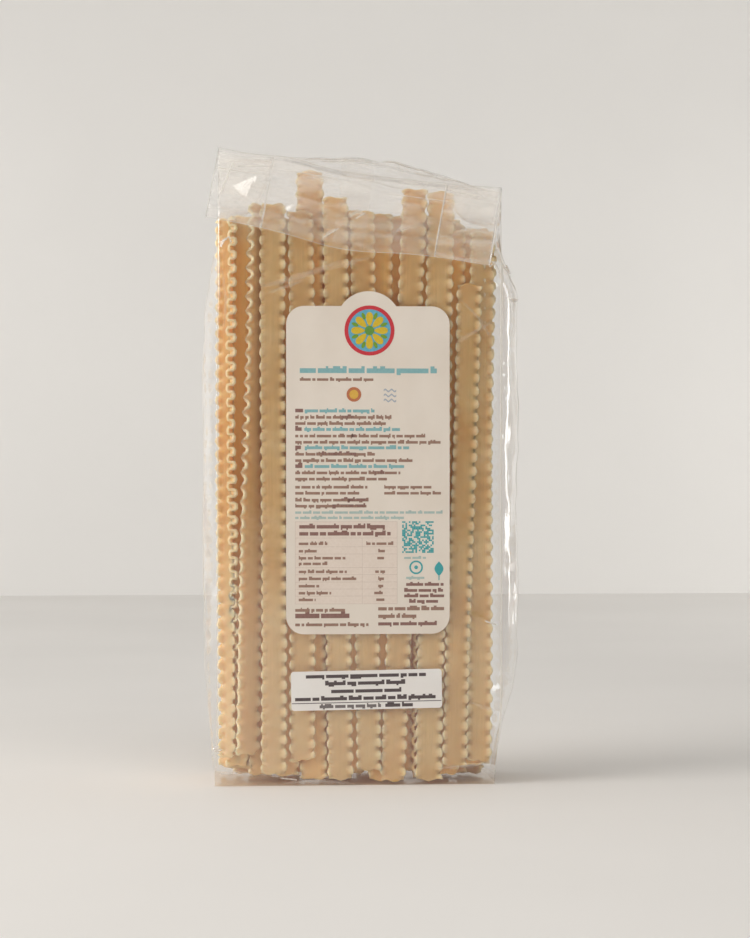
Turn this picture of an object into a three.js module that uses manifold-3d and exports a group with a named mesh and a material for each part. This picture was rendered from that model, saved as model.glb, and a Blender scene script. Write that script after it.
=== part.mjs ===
// A clear block-bottom bag packed with long mafaldine ribbons, standing upright.
//
// The bag is one closed solid: a filled body with side gussets, a roof that slopes forward to the
// fold, and the bag's mouth folded over as a flap that hangs in front. The film is tight on the
// ribbons at the front and the back, so they stand out there in low relief with their wavy edges.
// Two paper labels lie on the front, each a thin plate of its own.
//
// Millimetres, +Z up, the front faces -Y. The origin is under the middle of the whole box.

import * as THREE from 'three';
import { mergeVertices } from 'three/addons/utils/BufferGeometryUtils.js';
import Module from 'manifold-3d';

const wasm = await Module();
wasm.setup();

// ---------------------------------------------------------------- driving dimensions

const FLAT_WIDTH = 120; // the empty bag, laid flat
const GUSSET = 23.7; // each gusset's fold, from the edge to its crease
const DEPTH = 47; // the filled body, front face to back face
const BASE_WIDTH = 115; // the block bottom
const SIDE_BULGE = 7.5; // how far each side's crease stands out of the front's edge
const ROOF_START = 238; // the back panel starts to lean forward over the ribbons' ends
const FOLD_HEIGHT = 259.4; // the middle of the fold's two ends
const FOLD_TILT = -7.6; // degrees, the fold runs down to the right
const FOLD_SAG = 2.5; // below a straight line between its ends
const FOLD_THICKNESS = 2;
const ROOF_HUMP = { x: 6, rise: 13.5, reach: 75 }; // the longest ribbons push the roof up here

const FLAP_LENGTH = 30.6; // the mouth of the bag, folded forward
const FLAP_THICKNESS = 0.9;
const FLAP_PROUD = 4; // its free edge springs this far off the front

const RIBBON_WIDTH = 10.7;
const RELIEF = 2; // the ribbons' faces over the level between them
const EMBEDDED = 1; // how far a ribbon reaches into the solid behind that level
const RUFFLE_DEPTH = 0.7; // half of the way from a wave's tip to its valley
const FRONT_PITCH = 5.9; // from wave to wave
const BACK_PITCH = 2 * FRONT_PITCH; // every second wave, to keep the back's faces few

const LABEL_GAP = 0.3;
const LABEL_THICKNESS = 0.3;
const MAIN_LABEL = { width: 69.2, height: 138.5, x: 3.3, bottom: 64.2, corner: 7.6 };
const BADGE = { x: 3.6, rise: 6.3, radius: 13.8 }; // the round bump on its top edge
const SMALL_LABEL = { width: 63.8, height: 16.5, x: 2.7, bottom: 32.4, corner: 1.3, tilt: 0.9 };

// The flap stands proud at the front only, so the body's middle is moved back by half of that.
const MIDDLE_Y = FLAP_PROUD / 2;
const FRONT_Y = MIDDLE_Y - DEPTH / 2;
const BACK_Y = MIDDLE_Y + DEPTH / 2;

// The front row, left to right: the middle of each ribbon near its foot and near its head, its two
// ends, how deep it lies behind the outermost ribbons, and its visible width.
const HEIGHT_LOW = 57;
const HEIGHT_HIGH = 218;
const FRONT_ROW = [
  { low: -56.0, high: -56.0, from: 11.8, to: 241, sunk: 0.5, width: 7.4 },
  { low: -47.1, high: -47.7, from: 13.0, to: 241, sunk: 0.2 },
  { low: -36.3, high: -36.8, from: 4.6, to: 246, sunk: 0.0 },
  { low: -20.6, high: -20.8, from: 120, to: 258.6, sunk: 0.9 },
  { low: -23.3, high: -25.0, from: 10.6, to: 243, sunk: 0.2 },
  { low: -8.4, high: -10.2, from: 2.4, to: 249, sunk: 0.0 },
  { low: 3.6, high: 0.9, from: 6.0, to: 243, sunk: 0.3 },
  { low: 15.1, high: 22.2, from: 1.6, to: 252.8, sunk: 0.1 },
  { low: 30.4, high: 33.6, from: 1.8, to: 251.6, sunk: 0.3 },
  { low: 41.4, high: 46.5, from: 8.0, to: 212, sunk: 0.0 },
  { low: 52.6, high: 54.0, from: 9.8, to: 234, sunk: 0.2 },
];

// The back row is even, with a little disorder.
const BACK_ROW = { count: 10, span: 108, from: 6, to: 232, jitter: 1.2, endJitter: 4 };

// ---------------------------------------------------------------- helpers

const rad = THREE.MathUtils.degToRad;
const { lerp, smoothstep } = THREE.MathUtils;

function seededRandom(seed) {
  let state = seed;
  return () => {
    state = (state + 0x6d2b79f5) | 0;
    let t = Math.imul(state ^ (state >>> 15), 1 | state);
    t = (t + Math.imul(t ^ (t >>> 7), 61 | t)) ^ t;
    return ((t ^ (t >>> 14)) >>> 0) / 4294967296;
  };
}

function solidFrom(geometry) {
  const bare = geometry.clone();
  bare.deleteAttribute('normal');
  bare.deleteAttribute('uv');
  const merged = mergeVertices(bare, 1e-4);
  const mesh = new wasm.Mesh({
    numProp: 3,
    vertProperties: new Float32Array(merged.attributes.position.array),
    triVerts: new Uint32Array(merged.index.array),
  });
  return new wasm.Manifold(mesh);
}

function geometryFrom(solid) {
  const mesh = solid.getMesh();
  const geometry = new THREE.BufferGeometry();
  geometry.setAttribute('position', new THREE.BufferAttribute(mesh.vertProperties, 3));
  geometry.setIndex(new THREE.BufferAttribute(mesh.triVerts, 1));
  geometry.computeVertexNormals();
  return geometry;
}

// An outline drawn as seen from the front, x to the right and z up, from one depth to another.
function extrudeFromFront(shape, nearY, farY) {
  const geometry = new THREE.ExtrudeGeometry(shape, { depth: farY - nearY, bevelEnabled: false });
  geometry.rotateX(Math.PI / 2);
  geometry.translate(0, farY, 0);
  return geometry;
}

// ---------------------------------------------------------------- the bag's body

const ROOF_RISE = FOLD_HEIGHT - ROOF_START;
const SIDE_STEPS = 6;
const PANEL_STEPS = 8;

// How far the roof has closed, 0 under it and 1 at the fold.
const roofAt = (z) => THREE.MathUtils.clamp((z - ROOF_START) / ROOF_RISE, 0, 1);

// The fold's height at a place along it, over the middle of its ends.
function foldLineAt(x) {
  const sag = FOLD_SAG * (1 - (2 * x / FLAT_WIDTH) ** 2);
  return x * Math.tan(rad(FOLD_TILT)) - sag;
}

// How far the ribbons' heads push the roof up, most of it just behind the fold.
function humpAt(x, roof) {
  const away = (x - ROOF_HUMP.x) / ROOF_HUMP.reach;
  const across = Math.abs(away) < 1 ? Math.cos((Math.PI / 2) * away) ** 2 : 0;
  return ROOF_HUMP.rise * across * Math.sin(Math.PI * roof ** 3);
}

const halfWidthAt = (z) => lerp(BASE_WIDTH, FLAT_WIDTH, smoothstep(z, 0, 40)) / 2;

// Where the side's crease stands, out of the front's edge or, under the fold, tucked inside it.
function creaseAt(z, depth) {
  const swell = SIDE_BULGE * smoothstep(z, -4, 60) * (1 - smoothstep(z, 196, ROOF_START + 2));
  const tuck = Math.sqrt(Math.max(GUSSET ** 2 - (depth / 2) ** 2, 0));
  return roofAt(z) > 0 ? swell - tuck : swell;
}

// One level of the body as a ring of points, starting at the front's left end.
function bodyRing(z) {
  const roof = roofAt(z);
  const front = FRONT_Y + RELIEF;
  const back = lerp(BACK_Y - RELIEF, front + FOLD_THICKNESS, roof);
  const depth = back - front;
  const half = halfWidthAt(z);
  const crease = creaseAt(z, depth);
  const roundness = crease > 0 ? 1.7 : 1;
  // each point as its place across the bag and its share of the depth
  const side = [];
  for (let step = 0; step <= SIDE_STEPS; step++) {
    const along = step / SIDE_STEPS;
    const reach = crease * (1 - Math.abs(2 * along - 1) ** roundness);
    side.push([half + reach, along]);
  }
  const panel = [];
  for (let step = 1; step < PANEL_STEPS; step++) {
    panel.push(lerp(-half, half, step / PANEL_STEPS));
  }
  const ring = [
    ...panel.map((x) => [x, 0]),
    ...side,
    ...panel.map((x) => [-x, 1]),
    ...side.map(([x, along]) => [-x, along]).reverse(),
  ];
  return ring.map(([x, along]) => {
    const lift = roof * foldLineAt(x) + along * humpAt(x, roof);
    return new THREE.Vector3(x, lerp(front, back, along), z + lift);
  });
}

// Closed surface through a stack of rings with the same number of points.
function loft(rings) {
  const count = rings[0].length;
  const positions = rings.flat().flatMap((point) => point.toArray());
  const faces = [];
  for (let level = 0; level + 1 < rings.length; level++) {
    for (let i = 0; i < count; i++) {
      const a = level * count + i;
      const b = level * count + ((i + 1) % count);
      faces.push(a, b, b + count, a, b + count, a + count);
    }
  }
  const last = (rings.length - 1) * count;
  const outline = (ring) => ring.map((point) => new THREE.Vector2(point.x, point.y));
  for (const [a, b, c] of THREE.ShapeUtils.triangulateShape(outline(rings[0]), [])) {
    faces.push(a, c, b);
  }
  for (const [a, b, c] of THREE.ShapeUtils.triangulateShape(outline(rings.at(-1)), [])) {
    faces.push(last + a, last + b, last + c);
  }
  const geometry = new THREE.BufferGeometry();
  geometry.setAttribute('position', new THREE.Float32BufferAttribute(positions, 3));
  geometry.setIndex(faces);
  return geometry;
}

function makeBody() {
  const bodyLevels = [0, 6, 16, 32, 60, 196, 212, 226, ROOF_START];
  const roofLevels = [0.12, 0.3, 0.6, 0.85, 1].map((part) => ROOF_START + part * ROOF_RISE);
  return solidFrom(loft([...bodyLevels, ...roofLevels].map(bodyRing)));
}

// ---------------------------------------------------------------- the ribbons in relief

// One ribbon as an outline with scalloped edges, from its foot to its head.
function ribbonShape({ low, high, from, to, width = RIBBON_WIDTH }, pitch, phase) {
  const lean = (high - low) / (HEIGHT_HIGH - HEIGHT_LOW);
  const middleAt = (z) => low + lean * (z - HEIGHT_LOW);
  const steps = 2 * Math.round((to - from) / pitch);
  const half = width / 2 - RUFFLE_DEPTH;
  const left = [];
  const right = [];
  for (let step = 0; step <= steps; step++) {
    const z = lerp(from, to, step / steps);
    const wave = (step + phase) % 2 ? RUFFLE_DEPTH : -RUFFLE_DEPTH;
    left.push(new THREE.Vector2(middleAt(z) - half - wave, z));
    right.push(new THREE.Vector2(middleAt(z) + half - wave, z));
  }
  return new THREE.Shape([...right, ...left.reverse()]);
}

function makeFrontRow() {
  return FRONT_ROW.map((ribbon, index) => {
    const shape = ribbonShape(ribbon, FRONT_PITCH, index % 2);
    return solidFrom(extrudeFromFront(shape, FRONT_Y + ribbon.sunk, FRONT_Y + RELIEF + EMBEDDED));
  });
}

function makeBackRow() {
  const random = seededRandom(7);
  const around = (value, spread) => value + spread * (2 * random() - 1);
  const row = [];
  for (let i = 0; i < BACK_ROW.count; i++) {
    const x = lerp(-BACK_ROW.span / 2, BACK_ROW.span / 2, i / (BACK_ROW.count - 1));
    const ribbon = {
      low: around(x, BACK_ROW.jitter),
      high: around(x, BACK_ROW.jitter),
      from: around(BACK_ROW.from, BACK_ROW.endJitter),
      to: around(BACK_ROW.to, BACK_ROW.endJitter),
    };
    const sunk = 0.5 * random();
    const shape = ribbonShape(ribbon, BACK_PITCH, i % 2);
    row.push(solidFrom(extrudeFromFront(shape, BACK_Y - RELIEF - EMBEDDED, BACK_Y - sunk)));
  }
  return row;
}

// ---------------------------------------------------------------- the flap

// The folded mouth, drawn in profile: a short leg inside the roof's edge, the fold over the top,
// and the long leg that hangs in front and springs forward. It is extruded along the fold.
function makeFlap() {
  const overlap = 0.1;
  const legFront = FRONT_Y + RELIEF - overlap;
  const legBack = FRONT_Y + RELIEF + FOLD_THICKNESS + overlap;
  const legLength = 5;
  const inner = FRONT_Y - 0.4;
  const free = FRONT_Y - FLAP_PROUD;
  const top = 1.6;
  const under = top - FLAP_THICKNESS - 1.3;
  const profile = new THREE.Shape([
    new THREE.Vector2(legBack, -legLength),
    new THREE.Vector2(legBack, 0),
    new THREE.Vector2(legBack - 1.2, top),
    new THREE.Vector2(inner - 0.4, top),
    new THREE.Vector2(inner - FLAP_THICKNESS, 0),
    new THREE.Vector2(free, -FLAP_LENGTH + top),
    new THREE.Vector2(free + FLAP_THICKNESS, -FLAP_LENGTH + top),
    new THREE.Vector2(inner, under),
    new THREE.Vector2(legFront, under),
    new THREE.Vector2(legFront, -legLength),
  ]);
  const along = { depth: FLAT_WIDTH, steps: 2 * PANEL_STEPS, bevelEnabled: false };
  const geometry = new THREE.ExtrudeGeometry(profile, along);
  // profile x becomes depth y, profile y becomes height z, and the extrusion runs along x
  geometry.translate(0, 0, -FLAT_WIDTH / 2);
  geometry.applyMatrix4(new THREE.Matrix4().makeBasis(
    new THREE.Vector3(0, 1, 0),
    new THREE.Vector3(0, 0, 1),
    new THREE.Vector3(1, 0, 0),
  ));
  // along the fold's line, the ends leaning with it
  const points = geometry.attributes.position;
  for (let i = 0; i < points.count; i++) {
    const x = points.getX(i);
    points.setX(i, x + points.getZ(i) * Math.sin(rad(-FOLD_TILT)));
    points.setZ(i, points.getZ(i) + foldLineAt(x) + FOLD_HEIGHT);
  }
  return solidFrom(geometry);
}

function makeBag() {
  let solid = makeBody();
  for (const piece of [...makeFrontRow(), ...makeBackRow(), makeFlap()]) {
    solid = solid.add(piece);
  }
  const material = new THREE.MeshStandardMaterial({ color: 0xc8ab7a, roughness: 0.3, metalness: 0 });
  const mesh = new THREE.Mesh(geometryFrom(solid), material);
  mesh.name = 'bag';
  return mesh;
}

// ---------------------------------------------------------------- the labels

// A rectangle with round corners, its lower left corner at the origin.
function roundedOutline({ width, height, corner }) {
  const shape = new THREE.Shape();
  shape.absarc(width - corner, corner, corner, -Math.PI / 2, 0);
  shape.absarc(width - corner, height - corner, corner, 0, Math.PI / 2);
  shape.absarc(corner, height - corner, corner, Math.PI / 2, Math.PI);
  shape.absarc(corner, corner, corner, Math.PI, Math.PI * 1.5);
  return shape;
}

// The big label: a rounded rectangle whose top edge has a round bump for the badge.
function mainLabelOutline() {
  const { width, height, corner } = MAIN_LABEL;
  const middle = width / 2 + BADGE.x - MAIN_LABEL.x;
  const centre = height + BADGE.rise - BADGE.radius;
  const start = Math.asin((height - centre) / BADGE.radius);
  const shape = new THREE.Shape();
  shape.absarc(width - corner, corner, corner, -Math.PI / 2, 0);
  shape.absarc(width - corner, height - corner, corner, 0, Math.PI / 2);
  shape.absarc(middle, centre, BADGE.radius, start, Math.PI - start);
  shape.absarc(corner, height - corner, corner, Math.PI / 2, Math.PI);
  shape.absarc(corner, corner, corner, Math.PI, Math.PI * 1.5);
  return shape;
}

function makeLabel(name, outline, { x, width, bottom, tilt = 0 }, color) {
  const near = FRONT_Y - LABEL_GAP - LABEL_THICKNESS;
  const geometry = extrudeFromFront(outline, near, near + LABEL_THICKNESS);
  const material = new THREE.MeshStandardMaterial({ color, roughness: 0.55, metalness: 0 });
  const mesh = new THREE.Mesh(geometry, material);
  mesh.name = name;
  mesh.position.set(x - width / 2, 0, bottom);
  mesh.rotation.y = rad(-tilt);
  return mesh;
}

// ---------------------------------------------------------------- the pack

const pack = new THREE.Group();
pack.add(makeBag());
pack.add(makeLabel('main_label', mainLabelOutline(), MAIN_LABEL, 0xdfd0bf));
pack.add(makeLabel('small_label', roundedOutline(SMALL_LABEL), SMALL_LABEL, 0xece6df));

export default pack;
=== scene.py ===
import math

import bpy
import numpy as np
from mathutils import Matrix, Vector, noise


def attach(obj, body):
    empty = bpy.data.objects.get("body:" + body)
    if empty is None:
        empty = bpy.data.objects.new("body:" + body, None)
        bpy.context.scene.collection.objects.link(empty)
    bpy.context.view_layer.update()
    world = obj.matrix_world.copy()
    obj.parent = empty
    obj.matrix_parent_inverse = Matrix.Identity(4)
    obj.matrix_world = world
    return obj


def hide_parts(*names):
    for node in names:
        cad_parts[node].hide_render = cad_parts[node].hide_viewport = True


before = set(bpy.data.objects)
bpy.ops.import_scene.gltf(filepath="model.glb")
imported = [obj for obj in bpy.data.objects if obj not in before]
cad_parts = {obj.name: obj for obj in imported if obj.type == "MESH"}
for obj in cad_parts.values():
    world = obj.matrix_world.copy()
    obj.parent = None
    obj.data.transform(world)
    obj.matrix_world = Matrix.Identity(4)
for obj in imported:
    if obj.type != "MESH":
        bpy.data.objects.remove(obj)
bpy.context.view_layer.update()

# %% [markdown]
# # A clear bag of mafaldine
#
# The object is a block-bottom bag of clear film, packed full of long pasta ribbons with wavy
# edges. Its mouth is folded forward and hangs down as a flap, and two paper labels are stuck on
# the front. The frame that was just loaded is the CAD model: it says where everything goes.
# Blender adds what a plain solid can't show, which is film, separate ribbons, paper and print.
#
# Every size here is written in millimetres and turned to metres when a mesh is made.

# %% [markdown]
# ## The sizes that the part shares with the CAD model
#
# The bag is 120 mm wide when it lies flat and has 23.7 mm gussets. The front film is the plane
# that most other things are placed from, so it has a short name.

# %% Shared sizes
MM = 0.001
FRONT = -21.5  # y of the front film
BACK = 25.5  # y of the back film
MIDDLE = (FRONT + BACK) / 2
HALF = 60.0  # half of the flat width
HALF_BASE = 57.5
LEFT_BASE = 61.3  # the left foot swells out
GUSSET = 23.7  # depth of a gusset, flat
ROOF_START = 238.0
FOLD_HEIGHT = 259.4  # height of the fold over the middle of the bag
FOLD_TILT = math.tan(math.radians(-7.6))
FOLD_SAG = 2.5
LABEL_FACE = -22.1  # y of the labels' printed side
PIXELS_PER_MM = 2.367  # of the photograph, at the front film
FLOOR_ROW = 786
MIDDLE_COLUMN = 360

random = np.random.default_rng(20)


def row_height(row):
    """Height on the front, in mm, of a row of the photograph."""
    return (FLOOR_ROW - row) / PIXELS_PER_MM


def column_x(column):
    """Place across the front, in mm, of a column of the photograph."""
    return (column - MIDDLE_COLUMN) / PIXELS_PER_MM


def smoothstep(low, high, value):
    """0 below low, 1 above high, and a smooth step between them."""
    t = np.clip((np.asarray(value, float) - low) / (high - low), 0, 1)
    return t * t * (3 - 2 * t)


def blend(start, end, share):
    """start at share 0, end at share 1."""
    return start + (end - start) * share


def unit(vectors):
    """The same vectors, each 1 long."""
    return vectors / np.linalg.norm(vectors, axis=-1, keepdims=True)


# %% [markdown]
# ## Colours and nodes
#
# Colours are picked as sRGB hex values, as in any paint program, but shaders calculate with
# linear light, so one function turns one into the other. Another small function adds a shader
# node of any kind, sets it up and links it, so that a material reads as a list of its nodes.

# %% Colour and node helpers
def linear(hex_colour):
    """An sRGB hex colour as linear RGBA."""
    channels = [int(hex_colour[i:i + 2], 16) / 255 for i in (1, 3, 5)]
    curve = [c / 12.92 if c <= 0.04045 else ((c + 0.055) / 1.055) ** 2.4 for c in channels]
    return (*curve, 1.0)


def add_node(tree, kind, inputs=None, stops=(), **settings):
    """Adds one node with its settings and links.

    A value in inputs is a constant, or an output socket to link. stops are the (position, hex
    colour) stops of a colour ramp.
    """
    node = tree.nodes.new(kind)
    for key, value in settings.items():
        setattr(node, key, value)
    for key, value in (inputs or {}).items():
        if isinstance(value, bpy.types.NodeSocket):
            tree.links.new(value, node.inputs[key])
        else:
            node.inputs[key].default_value = value
    if stops:
        elements = node.color_ramp.elements
        while len(elements) < len(stops):
            elements.new(0.5)
        for element, (position, hex_colour) in zip(elements, stops):
            element.position = position
            element.color = linear(hex_colour)
    return node


def cloudy_colour(tree, scale, detail, low, high):
    """Soft clouds over a piece, between two (position, hex colour) stops."""
    place = add_node(tree, "ShaderNodeTexCoord").outputs["Object"]
    cloud = add_node(tree, "ShaderNodeTexNoise", {"Vector": place, "Scale": scale, "Detail": detail})
    ramp = add_node(tree, "ShaderNodeValToRGB", {"Fac": cloud.outputs["Fac"]}, stops=[low, high])
    return ramp.outputs["Color"]


def new_material(name):
    """A material with an empty node tree."""
    material = bpy.data.materials.new(name)
    material.use_nodes = True
    material.node_tree.nodes.clear()
    return material, material.node_tree


def finish_material(tree, surface):
    """Links the last shader to the material's output."""
    add_node(tree, "ShaderNodeOutputMaterial", {"Surface": surface})


# %% [markdown]
# ## From rows of points to a mesh
#
# Film, ribbons and paper are all lofted: a stack of rings or rows with the same number of
# points, joined by quads. numpy works on whole stacks at once, which keeps a hundred ribbons
# fast.

# %% Mesh helpers
def mesh_piece(name, points, faces, material, smooth=True, values=None):
    """Makes one piece of the object from points in mm. values holds its vertex attributes."""
    if isinstance(faces, np.ndarray):
        faces = faces.tolist()
    mesh = bpy.data.meshes.new(name)
    mesh.from_pydata((np.asarray(points) * MM).tolist(), [], faces)
    for key, data in (values or {}).items():
        kind, channel = ("FLOAT_VECTOR", "vector") if np.ndim(data) == 2 else ("FLOAT", "value")
        attribute = mesh.attributes.new(key, kind, "POINT")
        attribute.data.foreach_set(channel, np.asarray(data, np.float32).ravel())
    if smooth:
        mesh.shade_smooth()
    else:
        mesh.shade_flat()
    mesh.materials.append(material)
    piece = bpy.data.objects.new(name, mesh)
    bpy.context.scene.collection.objects.link(piece)
    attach(piece, "root")
    triangles = sum(len(polygon.vertices) - 2 for polygon in mesh.polygons)
    print(f"{name}: {len(mesh.vertices)} points, {triangles} triangles")
    return piece


def grid_faces(rows, columns, closed=False):
    """Quads over a grid of points. closed joins the last column to the first."""
    across = columns if closed else columns - 1
    row, column = np.meshgrid(np.arange(rows - 1), np.arange(across), indexing="ij")
    after = (column + 1) % columns
    corners = [row * columns + column, row * columns + after,
               (row + 1) * columns + after, (row + 1) * columns + column]
    return np.stack(corners, -1).reshape(-1, 4)


def joined(parts):
    """Several (points, faces, values) joined to one."""
    points, faces, values, start = [], [], {}, 0
    for part_points, part_faces, part_values in parts:
        points.append(part_points)
        faces.append(part_faces + start)
        start += len(part_points)
        for key, data in part_values.items():
            values.setdefault(key, []).append(data)
    merged = {key: np.concatenate(data) for key, data in values.items()}
    return np.concatenate(points), np.concatenate(faces), merged


def bag_piece(name, parts, material):
    """Film or ribbons, from (points, faces, values) parts. They stand for the solid bag."""
    points, faces, values = joined(parts)
    piece = mesh_piece(name, points, faces, material, values=values)
    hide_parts("bag")
    return piece


# %% [markdown]
# ## Camera
#
# The photograph looks level at the bag from about a metre, at half of its height, and from a
# few degrees to the left of square: the left edge of the big label is a little taller than its
# right edge. The camera is put on an arc round the bag's middle, so that only this one angle
# says how far to the left it stands.

# %% Camera
CAMERA_TURN = math.radians(4)
CAMERA_DISTANCE = 1023.5
CAMERA_ASIDE = 7.9
CAMERA_HEIGHT = 133.9

ahead = Vector((math.sin(CAMERA_TURN), math.cos(CAMERA_TURN), 0))
aside = Vector((math.cos(CAMERA_TURN), -math.sin(CAMERA_TURN), 0))
camera = bpy.data.objects.new("camera", bpy.data.cameras.new("camera"))
camera.data.lens = 90.84
camera.data.sensor_width = 36
camera.data.clip_end = 20
bag_middle = Vector((0, MIDDLE, CAMERA_HEIGHT))
camera.location = (bag_middle - ahead * CAMERA_DISTANCE + aside * CAMERA_ASIDE) * MM
camera.rotation_euler = (math.pi / 2, 0, -CAMERA_TURN)
bpy.context.scene.collection.objects.link(camera)
bpy.context.scene.camera = camera
print("camera at, mm:", [round(value / MM, 1) for value in camera.location])

# %% [markdown]
# ## Floor, wall and light
#
# The stage is a pale floor and a pale wall. The light is one large soft window light from the
# upper left with a small one under it, a weaker one from the right, and two that only brighten
# the wall. Clear film is seen by what it mirrors and by what shines through it: without
# something bright around it, it would vanish.

# %% Stage
def plaster(name, hex_low, hex_high):
    """Matt paint on plaster: a faint cloudy tone, no gloss."""
    material, tree = new_material(name)
    colour = cloudy_colour(tree, 3.0, 3.0, (0.3, hex_low), (0.7, hex_high))
    shader = add_node(tree, "ShaderNodeBsdfPrincipled", {"Base Color": colour, "Roughness": 0.9})
    finish_material(tree, shader.outputs[0])
    return material


def stage_plane(name, corners, material):
    """A plane that isn't part of the object, from its corners in metres."""
    mesh = bpy.data.meshes.new(name)
    mesh.from_pydata(corners, [], [(0, 1, 2, 3)])
    mesh.materials.append(material)
    plane = bpy.data.objects.new(name, mesh)
    bpy.context.scene.collection.objects.link(plane)


REACH = 4.0  # of the floor and the wall to each side, in metres
WALL_AT = 1.5
WALL_HEIGHT = 2.6
stage_plane("floor", [(-REACH, -REACH, 0), (REACH, -REACH, 0), (REACH, REACH, 0), (-REACH, REACH, 0)],
            plaster("pale_matt_floor", "#eeece9", "#f3f1ee"))
stage_plane("wall", [(-REACH, WALL_AT, 0), (REACH, WALL_AT, 0),
                     (REACH, WALL_AT, WALL_HEIGHT), (-REACH, WALL_AT, WALL_HEIGHT)],
            plaster("pale_matt_wall", "#eae9e7", "#eeedeb"))
print("floor and wall reach, m:", REACH, "wall at, m:", WALL_AT)


# %% Lights
def area_light(name, place, target, size, watts, hex_colour):
    """A square soft light, placed and aimed in metres."""
    data = bpy.data.lights.new(name, "AREA")
    data.shape = "SQUARE"
    data.size = size
    data.energy = watts
    data.color = linear(hex_colour)[:3]
    light = bpy.data.objects.new(name, data)
    light.location = place
    light.rotation_euler = (Vector(target) - Vector(place)).to_track_quat("-Z", "Y").to_euler()
    bpy.context.scene.collection.objects.link(light)
    print(f"{name}: {watts} W, {size} m wide")


DAYLIGHT = "#fffbf6"
ROOM_LIGHT = "#fffdfa"
area_light("window", (-1.55, -0.65, 0.8), (0, 0, 0.1), 1.0, 14.8, DAYLIGHT)
area_light("low_window", (-0.95, -0.3, 0.42), (-0.12, 0, 0.06), 0.4, 1.4, DAYLIGHT)
area_light("high_fill", (0.5, -1.3, 1.4), (0, 0, 0.12), 1.2, 5.5, ROOM_LIGHT)
area_light("wall_wash_left", (-1.0, 0.85, 0.1), (-0.25, 1.5, 0.14), 0.5, 2.7, ROOM_LIGHT)
area_light("wall_wash_right", (1.0, 0.85, 0.1), (0.25, 1.5, 0.14), 0.5, 3.0, ROOM_LIGHT)

# %% [markdown]
# Film also mirrors what stands behind the viewer. The world is that room: bright on the
# window's side, darker on the other, and dim in front, so that the film keeps its contrast.

# %% World
world = bpy.data.worlds.new("soft_room")
world.use_nodes = True
bpy.context.scene.world = world
room = world.node_tree
room.nodes.clear()
direction = add_node(room, "ShaderNodeTexCoord").outputs["Generated"]
split = add_node(room, "ShaderNodeSeparateXYZ", {"Vector": direction})
left_to_right = add_node(room, "ShaderNodeMapRange", {
    "Value": split.outputs["X"], "From Min": -1.0, "From Max": 1.0, "To Min": 0.0, "To Max": 1.0})
sky = add_node(room, "ShaderNodeValToRGB", {"Fac": left_to_right.outputs[0]},
               stops=[(0.0, "#fffefc"), (0.45, "#bab7b3"), (1.0, "#9c9995")])
front_to_back = add_node(room, "ShaderNodeMapRange", {
    "Value": split.outputs["Y"], "From Min": -1.0, "From Max": 0.1, "To Min": 0.42, "To Max": 1.08})
background = add_node(room, "ShaderNodeBackground", {
    "Color": sky.outputs["Color"], "Strength": front_to_back.outputs[0]})
add_node(room, "ShaderNodeOutputWorld", {"Surface": background.outputs[0]})
bpy.context.scene.view_settings.view_transform = "Standard"
bpy.context.scene.cycles.transparent_max_bounces = 24  # the flap alone is up to seven layers
bpy.context.scene.cycles.diffuse_bounces = 6
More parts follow.
